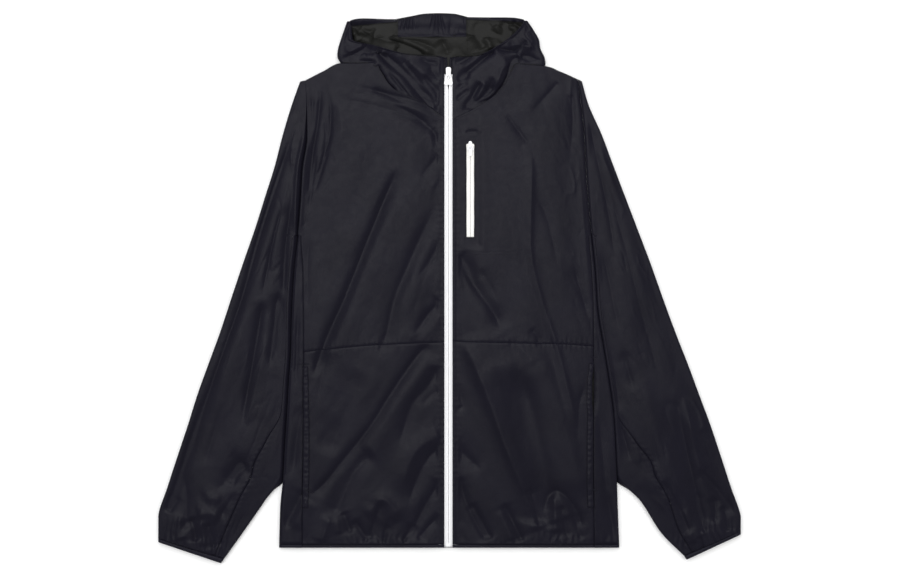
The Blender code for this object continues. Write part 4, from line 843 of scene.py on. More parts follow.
def taffeta():
    """Navy nylon taffeta, woven plain and calendered.

    It has a low satin gloss, a fine grid of threads and the small crumple of thin cloth.
    """
    name = "navy nylon taffeta, woven and calendered"
    if name in bpy.data.materials:
        return bpy.data.materials[name]
    colour = looks().shell
    made, tree, shader = new_material(
        name, roughness=0.38, specular_ior_level=0.16, sheen_weight=0.02, sheen_roughness=0.4
    )
    uv = node(tree, "ShaderNodeUVMap", uv_map="cloth").outputs[0]
    place = node(tree, "ShaderNodeTexCoord").outputs["Object"]
    # Taffeta has about 40 threads a centimetre; they are drawn 0.9 mm apart so that they show.
    warp = node(tree, "ShaderNodeTexWave", {"Vector": uv, "Scale": band_scale(0.9)}, bands_direction="X")
    weft = node(tree, "ShaderNodeTexWave", {"Vector": uv, "Scale": band_scale(0.9)}, bands_direction="Y")
    threads = {0: warp.outputs["Fac"], 1: weft.outputs["Fac"]}
    weave = node(tree, "ShaderNodeMath", threads, operation="MULTIPLY")
    small = node(
        tree, "ShaderNodeTexNoise",
        {"Vector": place, "Scale": 1 / (9 * MM), "Detail": 3.0, "Roughness": 0.55, "Distortion": 0.8},
    )
    patches = node(tree, "ShaderNodeTexNoise", {"Vector": place, "Scale": 1 / (60 * MM), "Detail": 2.0})
    tone = node(tree, "ShaderNodeMapRange", {0: patches.outputs[0], 1: 0.3, 2: 0.7, 3: 0.0, 4: 1.0})
    dark, light = tint(colour, 0.92), tint(colour, 1.08)
    mix = node(tree, "ShaderNodeMix", {0: tone.outputs[0], 6: dark, 7: light}, data_type="RGBA")
    tree.links.new(mix.outputs[2], shader.inputs["Base Color"])
    gloss = node(tree, "ShaderNodeMapRange", {0: small.outputs[0], 1: 0.3, 2: 0.7, 3: 0.34, 4: 0.44})
    tree.links.new(gloss.outputs[0], shader.inputs["Roughness"])
    crumpled = node(tree, "ShaderNodeBump", {"Height": small.outputs[0], "Strength": 0.14, "Distance": MM})
    woven = node(
        tree, "ShaderNodeBump",
        {"Height": weave.outputs[0], "Strength": 0.12, "Distance": 0.15 * MM, "Normal": crumpled.outputs[0]},
    )
    tree.links.new(woven.outputs[0], shader.inputs["Normal"])
    return made


def coated_reverse():
    """Polyurethane coating rolled on the cloth's back: matt olive grey with a faint mottle."""
    name = "grey polyurethane-coated reverse, rolled on"
    if name in bpy.data.materials:
        return bpy.data.materials[name]
    colour = looks().reverse
    made, tree, shader = new_material(name, roughness=0.45, specular_ior_level=0.2)
    place = node(tree, "ShaderNodeTexCoord").outputs["Object"]
    mottle = node(tree, "ShaderNodeTexNoise", {"Vector": place, "Scale": 1 / (14 * MM), "Detail": 4.0})
    tone = node(tree, "ShaderNodeMapRange", {0: mottle.outputs[0], 1: 0.3, 2: 0.7, 3: 0.0, 4: 1.0})
    dark, light = tint(colour, 0.88), tint(colour, 1.12)
    mix = node(tree, "ShaderNodeMix", {0: tone.outputs[0], 6: dark, 7: light}, data_type="RGBA")
    tree.links.new(mix.outputs[2], shader.inputs["Base Color"])
    small = node(tree, "ShaderNodeTexNoise", {"Vector": place, "Scale": 1 / (7 * MM), "Detail": 3.0})
    bump = node(tree, "ShaderNodeBump", {"Height": small.outputs[0], "Strength": 0.3, "Distance": 0.8 * MM})
    tree.links.new(bump.outputs[0], shader.inputs["Normal"])
    return made


def binding():
    """Navy elastic binding, knitted: fine ribs across its width and a duller face than the shell."""
    name = "navy elastic binding, knitted"
    if name in bpy.data.materials:
        return bpy.data.materials[name]
    colour = looks().shell
    made, tree, shader = new_material(name, roughness=0.45, specular_ior_level=0.2)
    uv = node(tree, "ShaderNodeUVMap", uv_map="cloth").outputs[0]
    ribs = node(tree, "ShaderNodeTexWave", {"Vector": uv, "Scale": band_scale(1.4)}, bands_direction="X")
    dark, light = tint(colour, 1.105), tint(colour, 1.43)
    mix = node(tree, "ShaderNodeMix", {0: ribs.outputs["Fac"], 6: dark, 7: light}, data_type="RGBA")
    tree.links.new(mix.outputs[2], shader.inputs["Base Color"])
    bump = node(
        tree, "ShaderNodeBump", {"Height": ribs.outputs["Fac"], "Strength": 0.25, "Distance": 0.2 * MM}
    )
    tree.links.new(bump.outputs[0], shader.inputs["Normal"])
    return made


def zip_tape(warm=False):
    """White polyester tape, woven in a fine herringbone: matt, with ribs along its length."""
    name = "warm white polyester tape, woven" if warm else "white polyester tape, woven"
    if name in bpy.data.materials:
        return bpy.data.materials[name]
    red, green, blue = looks().white
    colour = (red, green * 0.99, blue * 0.94) if warm else looks().white
    made, tree, shader = new_material(name, roughness=0.7, specular_ior_level=0.3)
    uv = node(tree, "ShaderNodeUVMap", uv_map="cloth").outputs[0]
    ribs = node(tree, "ShaderNodeTexWave", {"Vector": uv, "Scale": band_scale(1.5)}, bands_direction="X")
    picks = node(
        tree, "ShaderNodeTexWave", {"Vector": uv, "Scale": band_scale(0.9), "Distortion": 1.0},
        bands_direction="DIAGONAL",
    )
    both = node(tree, "ShaderNodeMath", {0: ribs.outputs["Fac"], 1: picks.outputs["Fac"]}, operation="ADD")
    dark, light = tint(colour, 0.93), tint(colour, 1)
    mix = node(tree, "ShaderNodeMix", {0: ribs.outputs["Fac"], 6: dark, 7: light}, data_type="RGBA")
    tree.links.new(mix.outputs[2], shader.inputs["Base Color"])
    bump = node(tree, "ShaderNodeBump", {"Height": both.outputs[0], "Strength": 0.4, "Distance": 0.2 * MM})
    tree.links.new(bump.outputs[0], shader.inputs["Normal"])
    return made


def plain(name, colour, brightness, roughness, specular, grain, depth):
    """A moulded, cast or spun finish: one colour with a faint mottle and a fine grain."""
    if name in bpy.data.materials:
        return bpy.data.materials[name]
    made, tree, shader = new_material(name, roughness=roughness, specular_ior_level=specular)
    place = node(tree, "ShaderNodeTexCoord").outputs["Object"]
    mottle = node(tree, "ShaderNodeTexNoise", {"Vector": place, "Scale": 1 / (grain * MM), "Detail": 2.0})
    dark, light = tint(colour, 0.95 * brightness), tint(colour, brightness)
    mix = node(tree, "ShaderNodeMix", {0: mottle.outputs[0], 6: dark, 7: light}, data_type="RGBA")
    tree.links.new(mix.outputs[2], shader.inputs["Base Color"])
    bump = node(
        tree, "ShaderNodeBump", {"Height": mottle.outputs[0], "Strength": 0.3, "Distance": depth * MM}
    )
    tree.links.new(bump.outputs[0], shader.inputs["Normal"])
    return made


def enamel():
    """White enamel baked on a zinc casting: smooth and glossy, with soft edges."""
    return plain("white enamelled zinc, die-cast", looks().white, 1, 0.28, 0.5, 3.0, 0.05)


def coil_plastic():
    """White polyester coil, extruded and wound: slightly glossy."""
    return plain("white polyester coil, extruded and wound", looks().white, 1, 0.4, 0.5, 1.0, 0.02)


def thread():
    """Navy polyester thread, spun: a shade lighter than the cloth, with a dull gloss."""
    return plain("navy polyester thread, spun", looks().shell, 1.25, 0.55, 0.4, 0.6, 0.05)


# The body's panels.


def back_floor(down, across):
    """Places of the back's floor layer, columns over the back's top edge table."""
    right_y, right_edge = SIDES["right"].at(down)[:2]
    left_y, left_edge = SIDES["left"].at(down)[:2]
    high = down < UNDERARM_ROW
    start = np.where(high, armhole_middle("right", down) + SEAM / 2, right_edge + FOLD)
    end = np.where(high, armhole_middle("left", down) - SEAM / 2, left_edge - FOLD)
    part = across / BACK_TOPS.last
    top_x, top_y = BACK_TOPS.at(across)
    chord_x = between(BACK_TOP[0][0], BACK_TOP[-1][0], part)
    chord_y = between(BACK_TOP[0][1], BACK_TOP[-1][1], part)
    lift = np.clip(1 - down / UNDERARM_ROW, 0, 1)
    x = between(start, end, part) + (top_x - chord_x) * lift
    y = between(right_y, left_y, part) + (top_y - chord_y) * lift**2
    begun = smooth(down / 0.5)
    return between(top_x, x, begun), between(top_y, y, begun)


def armhole_middle(side, down):
    """Halfway between the body's edge and the sleeve's inner edge."""
    return (SIDES[side].at(down)[1] + SLEEVES[side].at(down)[2]) / 2


def rim_drop(down):
    """How far the cloth falls round the edge at the shoulder seam."""
    away = np.clip(1 - down / RIM_ROWS, 0, 1)
    return (FOLD - RIM_SHORT) * (1 - np.sqrt(1 - away * away))


def back_lift(x, y):
    """The back's creases stand up from the floor, so that its underside stays flat between them."""
    return looks().fold_scale * np.maximum(fold_rise(BACK_FOLDS, x, y) + 0.25 * field(x, y, 30.0, 12.5), 0.0)


def half_round():
    """Steps round a side fold, from the floor layer up: inset and height."""
    angle = np.linspace(0, math.pi, FOLD_STEPS + 1)
    return FOLD * (1 - np.sin(angle)), FOLD * (1 - np.cos(angle))


def under_front(down):
    """At the underarm the back's strip and the under sleeve begin just under the pieces above them."""
    return 1.2 * (down < UNDERARM_ROW)


def fold_band(side, down):
    """The body's side fold, from the floor layer up."""
    inset, high = half_round()
    y, edge = SIDES[side].at(down)[:2]
    return stack(edge - OUT[side] * inset, y, high * (1 - under_front(down) / 5))


def strip(side, down):
    """The part of the back that shows on the front, between the side seam and the side fold."""
    y, edge, seam = SIDES[side].at(down)
    part = np.r_[0, 0.04, 0.1, np.linspace(0.2, 1, 11)][None, :]
    x = between(seam + OUT[side] * SEAM, edge - OUT[side] * FOLD, part)
    from_seam = np.abs(x - seam)
    z = front_height(x, y) + dip(from_seam, 0.35, 1.2) - under_front(down)
    z += looks().fold_scale * pucker(from_seam, y, 4.4, 0.3, 6.0, 7.0) * smooth((1 - part) * 3)
    if side == "left":
        z -= pocket_gape(y) * 1.9 * np.exp(-((from_seam / 4.5) ** 2))
    return stack(x, y, z)


def pocket_gape(y):
    """Where the left hand pocket stands open, from 0 to 1."""
    return smooth((-112.0 - y) / 22) * smooth((y + 190.0) / 30)


def wraps(down):
    """What of the back comes round to the front: the right strip and fold, and the left fold and strip."""
    right = np.hstack([strip("right", down), fold_band("right", down)[:, :0:-1]])
    left = np.hstack([fold_band("left", down)[:, 1:], strip("left", down)[:, ::-1][:, 1:]])
    return right, left


def back_places():
    """Rows of the back. Those beside the armholes have the floor layer only."""
    top = np.array([0, RIM_ROWS / 4, RIM_ROWS / 2, RIM_ROWS * 0.75, RIM_ROWS])
    high = np.r_[top, spaced(RIM_ROWS, UNDERARM_UNDER - 0.02, 0.16)[1:]][:, None]
    low = np.r_[UNDERARM_UNDER, spaced(UNDERARM_ROW, HEM_ROW, 0.09)][:, None]
    across = spaced(0, BACK_TOPS.last, 0.1)[None, :]
    blocks = []
    for down in (high, low):
        x, y = back_floor(down, across)
        quiet = smooth(down / 0.6) * smooth(across / 0.3) * smooth((BACK_TOPS.last - across) / 0.3)
        z = back_lift(x, y) * quiet * smooth((UNDERARM_ROW - down) / 0.3 + (down >= UNDERARM_ROW))
        middle = (BACK_TOP[0][0] + BACK_TOP[-1][0]) / 2
        z = z + smooth((np.abs(x - middle) - 120) / 25) * rim_drop(down)
        y = y - RIM_SLOPE * np.minimum(down, RIM_ROWS) * smooth((RIM_ROWS - down) / RIM_ROWS)
        blocks.append(stack(x, y, z))
    right, left = wraps(low)
    blank_right, blank_left = (np.full((len(high), block.shape[1], 3), np.nan) for block in (right, left))
    return np.vstack([np.hstack([blank_right, blocks[0], blank_left]), np.hstack([right, blocks[1], left])])


def front_upper_places(side):
    """An upper front, from its round edge at the shoulder to the waist seam."""
    neck = NECKS[side]
    rim = [0, 0.01, 0.03, 0.05, 0.07, RIM_ROWS]
    armhole = spaced(RIM_ROWS, UNDERARM_TOP, ROW_STEP)[1:]
    body = spaced(UNDERARM_ROW, WAIST_ROW - 0.06, ROW_STEP)
    foot = [WAIST_ROW - 0.03, WAIST_ROW - 0.01, WAIST_ROW - WAIST_GAP]
    down = np.r_[rim, armhole, body, foot][:, None]
    middle = spaced(0.06, neck.last - 0.08, 0.05)
    across = np.r_[0, 0.025, middle, neck.last - 0.04, neck.last][None, :]
    x, y = front_place(side, across, down)
    z = front_height(x, y) + edge_lip(np.abs(x - ZIP_CENTRE) - ZIP_HALF)
    z -= smooth(across - SHOULDER_POINT + 1) * rim_drop(down)
    off_seam = np.abs(x[:, -1:] - x)
    z += dip(off_seam, 0.35, 1.2) * (down >= UNDERARM_ROW)
    if side == "right":
        z += 0.6 * armhole_roll(down, off_seam)
        return tucked(stack(x, y, z), down, x[:, -1:] - 0.6, np.sin(TUCK_TURN))
    z += dip(off_seam, 1.5, 1.8) * (down < UNDERARM_ROW) * smooth(down / 0.6)
    return stack(x, y, z)


def armhole_roll(down, off_seam):
    """The cloth stands up in a roll beside the right armhole before it falls into the gap."""
    share = smooth((down - 1.6) / 0.9) * smooth((UNDERARM_ROW - down) / 0.5)
    return 2.0 * np.exp(-(((off_seam - 1.2) / 3.6) ** 2)) * share


# Steps of the turn down into the armhole's gap.
TUCK_TURN = np.linspace(0, math.pi / 2, 7)[None, 1:]


def tucked(places, down, end_x, share):
    """Carries the last column on, down into the armhole's gap; share is how far across each step lies."""
    last = places[:, -1:]
    depth = smooth((down - RIM_ROWS) / 0.7)
    x = between(last[..., 0], end_x, share)
    z = last[..., 2] - (last[..., 2] - TUCK) * depth * (1 - np.cos(TUCK_TURN)) ** 0.9
    more = stack(x, last[..., 1], z)
    more[(down[:, 0] <= RIM_ROWS) | (down[:, 0] >= UNDERARM_ROW)] = np.nan
    return np.hstack([places, more])


def front_lower_places(side):
    """A lower front, from the waist seam to the hem. The left one gapes at the hand pocket."""
    top = [WAIST_ROW + WAIST_GAP, WAIST_ROW + 0.02, WAIST_ROW + 0.05]
    down = np.r_[top, spaced(WAIST_ROW + 0.09, HEM_ROW, ROW_STEP)][:, None]
    part = np.r_[0, 0.004, spaced(0.012, 0.975, 0.009), 0.985, 0.993, 1][None, :]
    x, y = lower_place(side, part, down)
    seam = x[:, -1:]
    off_seam = np.abs(seam - x)
    z = front_height(x, y) + edge_lip(np.abs(x - ZIP_CENTRE) - ZIP_HALF)
    z += dip(off_seam, 0.6, 1.4)
    if side == "left":
        gape = pocket_gape(y)
        x = x - 2.3 * gape * np.exp(-((off_seam / 12) ** 2))
        z += 0.9 * gape * np.exp(-((off_seam / 6) ** 2))
    return stack(x, y, z)


def welt_places(side):
    """The puckered band that closes the hand pocket, over the edge of the front."""
    first, last = WELT_ROWS
    down = spaced(first, last, 0.04)[:, None]
    part = np.linspace(WELT_START, 1.0, 9)[None, :]
    x, y = lower_place(side, part, down)
    across = (part - WELT_START) / (1 - WELT_START)
    ends = smooth((down - first) / 0.06) * smooth((last - down) / 0.06)
    wrinkle = gather(y + 2.5 * np.sin(y / 11.0) + 3 * field(x, y, 19.0, 6.6), 7.7 + OUT[side], 7.4) * 0.4
    wrinkle = wrinkle * (0.5 + np.abs(field(0, y, 26.0, 1.4))) + 0.6 * field(x / 5, y / 7, 1.0, 3.9)
    z = front_height(x, y) + 0.5 + 0.9 * ends * np.sin(math.pi * np.clip(across, 0.04, 0.96)) ** 0.4
    z += wrinkle * ends * np.sin(math.pi * np.clip(across, 0.02, 0.98)) ** 0.7 * looks().fold_scale
    if side == "left":
        gape = pocket_gape(y)
        x = x - 2.3 * gape
        z += 0.5 * gape
    return stack(x, y, z)


# The sleeves.


def sleeve_place(side, down, distance):
    """A place on a sleeve's row, at a distance from its outer edge."""
    outer_x, outer_y, inner_x, inner_y = SLEEVES[side].at(down)[:4]
    part = distance / np.hypot(inner_x - outer_x, inner_y - outer_y)
    return between(outer_x, inner_x, part), between(outer_y, inner_y, part)


def sleeve_measures(side, down):
    """A sleeve's width, and how far the under sleeve's front and back seams lie from its inner edge."""
    outer_x, outer_y, inner_x, inner_y, front, behind = SLEEVES[side].at(down)
    return np.hypot(inner_x - outer_x, inner_y - outer_y), front, behind


def cuff_draw(side, down):
    """How strongly the cuff's elastic draws up the sleeve, growing towards its end."""
    start = SLEEVES[side].last + 1 - CUFF_GATHERS
    return 1.7 * smooth((down - start) / 1.2)


def sleeve_height(side, down, distance):
    """Outer face of a sleeve's front layer."""
    width, front = sleeve_measures(side, down)[:2]
    x, y = sleeve_place(side, down, distance)
    calm = smooth((distance - FOLD) / 8) * smooth((width - distance - FOLD) / 8)
    puff = PUFF * smooth((distance - 5) / 35) * smooth((width - distance - 5) / 35)
    lean = 0.36 * OUT[side]
    folds = 1.3 * fold_rise(SLEEVE_FOLDS, x, y) + 1.1 * crumple(x, y, lean, 6.4 + OUT[side])
    folds = folds + 1.4 * creases(x, y, lean, 5.3 + OUT[side])
    near_cuff = cuff_draw(side, down) * (0.7 + 0.5 * field(distance, 0, 27.0, 2.9 + OUT[side]))
    bent = distance + 7 * field(x, y, 34.0, 8.8)
    drawn = 0.6 * gather(bent, 5.2 + OUT[side], 10.5) + 0.8 * creases(x, y, 0.9 * OUT[side], 3.8)
    folds = folds + near_cuff * drawn
    z = LAY + looks().fold_scale * (puff + calm * folds)
    off_seam = np.abs(width - front - distance)
    low = smooth((down - UNDER_SLEEVE_ROW) / 1.5)
    z += dip(off_seam, 0.7, 1.5) * low + looks().fold_scale * low * pucker(off_seam, y, 2.6, 0.3, 6.0, 8.0)
    return soft_max(z, 2.6 - 0.4 * smooth((6 - distance) / 2) - 0.4 * smooth((distance + 6 - width) / 2))


def sleeve_fold(side, down, outer):
    """A sleeve's outer or inner fold, from the floor layer up."""
    inset, high = half_round()
    width = sleeve_measures(side, down)[0]
    distance = inset[None, :] if outer else width - inset[None, :] + toe(side, down) * TOE_SHARE[None, :]
    x, y = sleeve_place(side, down, distance)
    return stack(x, y, high[None, :])


# How far each step of the sleeve's inner fold, from the floor up, is drawn out towards the body.
TOE_SHARE = np.array([0, 0.9, 1.0, 0.55, 0.15, 0, 0, 0, 0])


def toe(side, down):
    """Reach of the slack cloth at the foot of the sleeve's inner fold, which lies against the body."""
    inner_x, inner_y = SLEEVES[side].at(down)[2:4]
    gap = np.clip(np.abs(inner_x) - np.abs(body_edge(side, inner_y)), 0, 5)
    return (gap + 1.1) * smooth((12.7 - down) / 0.5)


def sleeve_floor(side, down, start, end, count):
    """A sleeve's floor layer between two distances from its outer edge."""
    distance = between(start, end, np.linspace(0, 1, count)[None, :])
    x, y = sleeve_place(side, down, distance)
    lift = np.maximum(0.9 * field(x, y, 34.0, 15.0 + OUT[side]) + 0.5 * field(x, y, 12.0, 21.0), 0.0)
    outer_half = distance < sleeve_measures(side, down)[0] / 2
    calm = smooth((distance - FOLD) / 12) * smooth((end - distance) / 8 + outer_half)
    return stack(x, y, lift * calm * looks().fold_scale * smooth(down - 0.5))


def sleeve_downs(side):
    """Rows of a sleeve from the underarm to the cuff."""
    return spaced(UNDERARM_ROW, SLEEVES[side].last, SLEEVE_STEP)


def sleeve_upper_places(side):
    """An upper sleeve: its front layer, outer fold and floor layer."""
    down = np.r_[spaced(0, UNDERARM_TOP, SLEEVE_STEP), sleeve_downs(side)][:, None]
    width, front, behind = sleeve_measures(side, down)
    above = down < UNDERARM_ROW
    middle = armhole_middle(side, down) + OUT[side] * SEAM / 2
    inner_x = SLEEVES[side].at(down)[2]
    front_end = np.where(above, width, width - front - SEAM)
    back_end = np.where(above, width + np.abs(inner_x - middle), width - behind - SEAM)
    part = np.r_[0, 0.008, np.linspace(0.02, 1, 70)][None, :]
    distance = between(front_end, FOLD, part)
    x, y = sleeve_place(side, down, distance)
    top = stack(x, y, sleeve_height(side, down, distance))
    if side == "right":
        top[..., 2] += armhole_roll(down, front_end - distance)
        edge_x = SIDES[side].at(down)[1]
        top = tucked(top[:, ::-1], down, edge_x + 0.2, 1 - np.cos(TUCK_TURN))[:, ::-1]
    else:
        off = front_end - distance
        top[..., 2] += dip(off, 1.5, 1.8) * above * smooth(down / 0.6)
    fold = sleeve_fold(side, down, True)[:, ::-1][:, 1:-1]
    floor = sleeve_floor(side, down, FOLD, back_end, 18)
    return np.hstack([top, fold, floor])


def sleeve_under_places(side):
    """An under sleeve: its floor layer, the inner fold and what comes round to the front."""
    down = np.r_[UNDERARM_UNDER, sleeve_downs(side)][:, None]
    width, front, behind = sleeve_measures(side, down)
    floor = sleeve_floor(side, down, width - behind, width - FOLD, 12)
    fold = sleeve_fold(side, down, False)[:, 1:-1]
    distance = between(width - FOLD, width - front, np.linspace(0, 1, 26)[None, :])
    x, y = sleeve_place(side, down, distance)
    top = stack(x, y, sleeve_height(side, down, distance) - under_front(down))
    return np.hstack([floor, fold, top])


def cuff_places(side):
    """The elastic binding at the wrist: a ring round both layers, with small puckers."""
    start, end = np.array(SLEEVE[side][-1]), np.array(CUFF_END[side])
    part = np.linspace(0.05, 1.0, 4)[:, None]
    outer_x, outer_y, inner_x, inner_y = between(start[:, None, None], end[:, None, None], part[None])[:4]
    width = np.hypot(inner_x - outer_x, inner_y - outer_y)
    inset, high = (steps[None, 1:-1] + 0 * part for steps in half_round())
    share = np.linspace(0, 1, 60)[None, :]
    front, floor = between(width - FOLD, FOLD, share), between(FOLD, width - FOLD, share)
    off_ends = smooth((front - 4) / 6) * smooth((width - front - 4) / 6)
    draw = 0.55 * off_ends * gather(front, 5.2 + OUT[side], 3.6)
    bulge = 0.45 * np.sin(math.pi * between(0.1, 0.9, part))
    distance = np.hstack([front, inset[:, ::-1], floor, width - inset])
    z = np.hstack([LAY + draw + bulge, high[:, ::-1], 0 * floor, high])
    share = distance / width
    return stack(between(outer_x, inner_x, share), between(outer_y, inner_y, share), z)


# The hood.


def flap_rise(x, y):
    """Lift of the hood's back layer, whose lining bulges over the brim facing with a rolled edge."""
    beside = np.maximum(np.maximum(FLAP["right"] - x, x - FLAP["left"]), 0)
    under = FLAP["edge"] + 1.2 * np.sin(x / 23.0) + 0.8 * np.sin(x / 9.0) - y
    bulge = np.clip(under / FLAP["round"], 0, 1)
    roll = np.sqrt(bulge * (2 - bulge))
    fall = between(1.0, 0.25, smooth((under - 4) / 34))
    return FLAP["rise"] * roll * fall * (1 - smooth(beside / FLAP["ease"]))


def lining_height(x, y):
    """The back layer of the hood as it lies in the mouth."""
    z = flap_rise(x, y) + 0.8 * smooth((394 - y) / 10)
    z = z + 3.4 * smooth((-104.0 - x) / 34) + 2.4 * smooth((x - 74.0) / 26)
    aside = np.abs(x - MOUTH_MIDDLE)
    corner = smooth((aside - 70) / 30)
    folds = 2.2 * fold_rise(LINING_FOLDS, x, y) + 1.3 * crumple(x, y, 1.2, 8.8)
    folds = folds + (1 + 2 * corner) * creases(x, y, 1.0, 6.1)
    open_cloth = smooth((y - 0.45 * aside - 300) / 12)
    bunched = 3.4 + 1.2 * crumple(x * 1.9, y * 1.9, 0.4, 9.9) + 1.6 * creases(x, y, 0.7, 4.4)
    folds = folds + corner * open_cloth * bunched
    z = np.maximum(z + looks().fold_scale * folds * smooth((391 - y) / 6), 0.0)
    return -soft_max(-z, -LINING_HIGHEST)


def hood_side_places(side):
    """A side of the hood: its front layer, the outer fold, and the back layer with the mouth's hem."""
    table, neck, inward = HOODS[side], NECKS[side], -OUT[side]
    last, half = table.last, table.last / 2
    down = spaced(0, last, 0.085)[:, None]
    edge_x, edge_y, front_x, front_y, seam_x, seam_y = table.at(down)
    lift = HOOD_LIFT * smooth((last - down) / half)
    radius = FOLD + lift / 2
    outer_x, outer_y = edge_x + inward * radius, edge_y
    across = np.r_[0, 0.02, 0.05, spaced(0.09, SHOULDER_POINT - 0.08, 0.05)][None, :]
    part = across / SHOULDER_POINT
    x, y = between(front_x, outer_x, part), between(front_y, outer_y, part)
    neck_x, neck_y = neck.at(across)
    towards = smooth((down - half) / half)
    x = between(x, neck_x + inward * 0.1 * np.minimum(across, 1), towards)
    y = between(y, neck_y + 0.1, towards)
    away = np.abs(x - ZIP_CENTRE) - ZIP_HALF
    off_edge = part * np.hypot(outer_x - front_x, outer_y - front_y)
    calm = smooth((away - 1) / 7) * smooth((1 - part) * 7) * smooth((last - down) / 0.4)
    high = LAY + lift * smooth(away / 60)
    mouth = smooth((4.4 - down) / 0.6)
    roll = 1.5 * np.exp(-(((off_edge - 3.5) / 3.5) ** 2)) - 1.1 * np.exp(-((off_edge / 1.4) ** 2))
    lean = 0.8 * OUT[side]
    folds = 1.4 * fold_rise(HOOD_FOLDS, x, y) + 0.8 * crumple(x, y, lean, 3.3) + 1.2 * smooth((1 - part) * 3)
    folds = folds + 1.4 * creases(x, y, lean, 2.6)
    z = high + looks().fold_scale * calm * folds + mouth * roll * smooth((1 - part) * 6)
    z += (1 - mouth) * edge_lip(away) + dip((last - down) * 20, 0.6, 1.2)
    high = soft_max(z, lining_height(x, y) + 1.7)
    top = stack(x, y, -soft_max(-high, -HOOD_HIGHEST))
    angle = np.linspace(math.pi, 0, 11)[None, 1:]
    fold = stack(edge_x + inward * radius * (1 - np.sin(angle)), edge_y, radius * (1 - np.cos(angle)))
    share = np.r_[np.linspace(0, 0.985, 41)[1:], 0.996, 1][None, :]
    x = between(outer_x, seam_x - inward * SEAM / 2, share)
    y = between(outer_y, seam_y, share) + 3.0 * np.sin(math.pi * share**0.45) * smooth(1 - down)
    hem = 0.7 * smooth((0.36 - down) / 0.03)
    floor = stack(x, y, lining_height(x, y) * smooth(share * 4) + hem * smooth(share * 9))
    return np.hstack([top, fold, floor])


def hood_centre_places():
    """The crown strip between the hood's sides, from the brim to the neck."""
    last = HOODS["right"].last
    down = np.r_[spaced(0, 3.5, 0.045), spaced(3.5, last, 0.13)[1:]][:, None]
    right_x, right_y = HOODS["right"].at(down)[4:]
    left_x, left_y = HOODS["left"].at(down)[4:]
    end = BRIMS.last
    across = np.r_[0, 0.02, spaced(0.09, end - 0.09, 0.09), end - 0.02, end][None, :]
    part = across / BRIMS.last
    bow = BRIMS.at(across)[1] - between(HOOD["right"][0][5], HOOD["left"][0][5], part)
    x = between(right_x - 0.6, left_x + 0.6, part)
    y = between(right_y, left_y, part) + bow * (1 - down / last)
    return stack(x, y, lining_height(x, y) + 0.3)


def facing_places():
    """Facing inside the brim, drawn up into fine gathers that run down it."""
    across = np.linspace(1, 0, 170)[None, :]
    part = np.r_[0, 0.03, np.linspace(0.08, 1, 12)][:, None]
    brim_y = BRIMS.at(across * BRIMS.last)[1]
    x = between(FACING["right"], FACING["left"], across)
    y = between(brim_y - 1.2, FACING["foot"], part)
    waves = 0.75 * gather(x + 8 * (part - 0.5) * np.sin(x / 6) + 6 * field(x, 0, 17.0, 7.7), 9.1, 7.2)
    waves = waves * np.clip(0.5 + 1.5 * field(x, y, 24.0, 2.2), 0.0, 1.3)
    waves = waves + 0.9 * field(x / 8, y / 20, 1.0, 4.2)
    z = FACING["high"] + waves * np.sin(math.pi * between(0.12, 0.9, part)) * looks().fold_scale
    z += 1.3 * np.sin(math.pi * np.clip(part * 1.6, 0, 1)) - 0.9 * part
    return stack(x, y, soft_max(z, lining_height(x, y) + 2.0))


# The hem and the zips.


def hem_front_places(side):
    """The hem's binding on one front, with small gathers."""
    start, end = ZIP_CENTRE + OUT[side] * ZIP_HALF, SIDE[side][HEM_ROW][2]
    x = np.linspace(start, end, 120)[None, :]
    top = SIDE["right"][HEM_ROW][0] - SEAM
    part = np.linspace(0, 1, 5)[:, None]
    drawn = 0.55 * gather(x, 3.3, 4.7) * smooth((np.abs(x - ZIP_CENTRE) - 8) / 12)
    drawn = drawn * smooth((np.abs(end - x) - 3) / 8) * looks().fold_scale
    return stack(x, top - HEM_BAND * part, LAY + drawn + 0.5 * np.sin(math.pi * between(0.1, 0.9, part)))


def hem_back_places():
    """The hem's binding round the back, as far as the side seams in front."""
    low = np.array([[float(HEM_ROW)]])
    x, y = back_floor(low, spaced(0, BACK_TOPS.last, 0.065)[None, :])
    right, left = wraps(low)
    row = np.hstack([right, stack(x, y, 0), left])
    top = SIDE["right"][HEM_ROW][0] - SEAM
    part = np.linspace(0, 1, 5)[:, None]
    bulge = 0.5 * np.sin(math.pi * between(0.1, 0.9, part)) * (row[..., 2] > 4.5)
    return stack(row[..., 0], top - HEM_BAND * part, row[..., 2] + bulge)


def tape_places(towards):
    """Half of the front zip's tape, with a bead along its inner edge."""
    y = spaced(TAPE_END, TAPE_FOOT, 3.0)[:, None]
    split = np.array(ZIP_SPLIT)[::-1]
    apart = np.interp(y, split[:, 1], split[:, 0])
    part = np.array([0, 0.05, 0.1, 0.15, 0.2, 0.26, 0.34, 0.45, 0.6, 0.8, 1.0])[None, :]
    off = between(apart, TAPE_HALF, part)
    beside = off - apart
    bead = 0.55 * np.exp(-((beside - 1.5) ** 2)) - 0.25 * np.exp(-(((beside - 3.2) / 0.7) ** 2))
    return stack(ZIP_CENTRE + towards * off, y, TAPE_TOP + bead)


# Sewing and teeth: beads along paths.


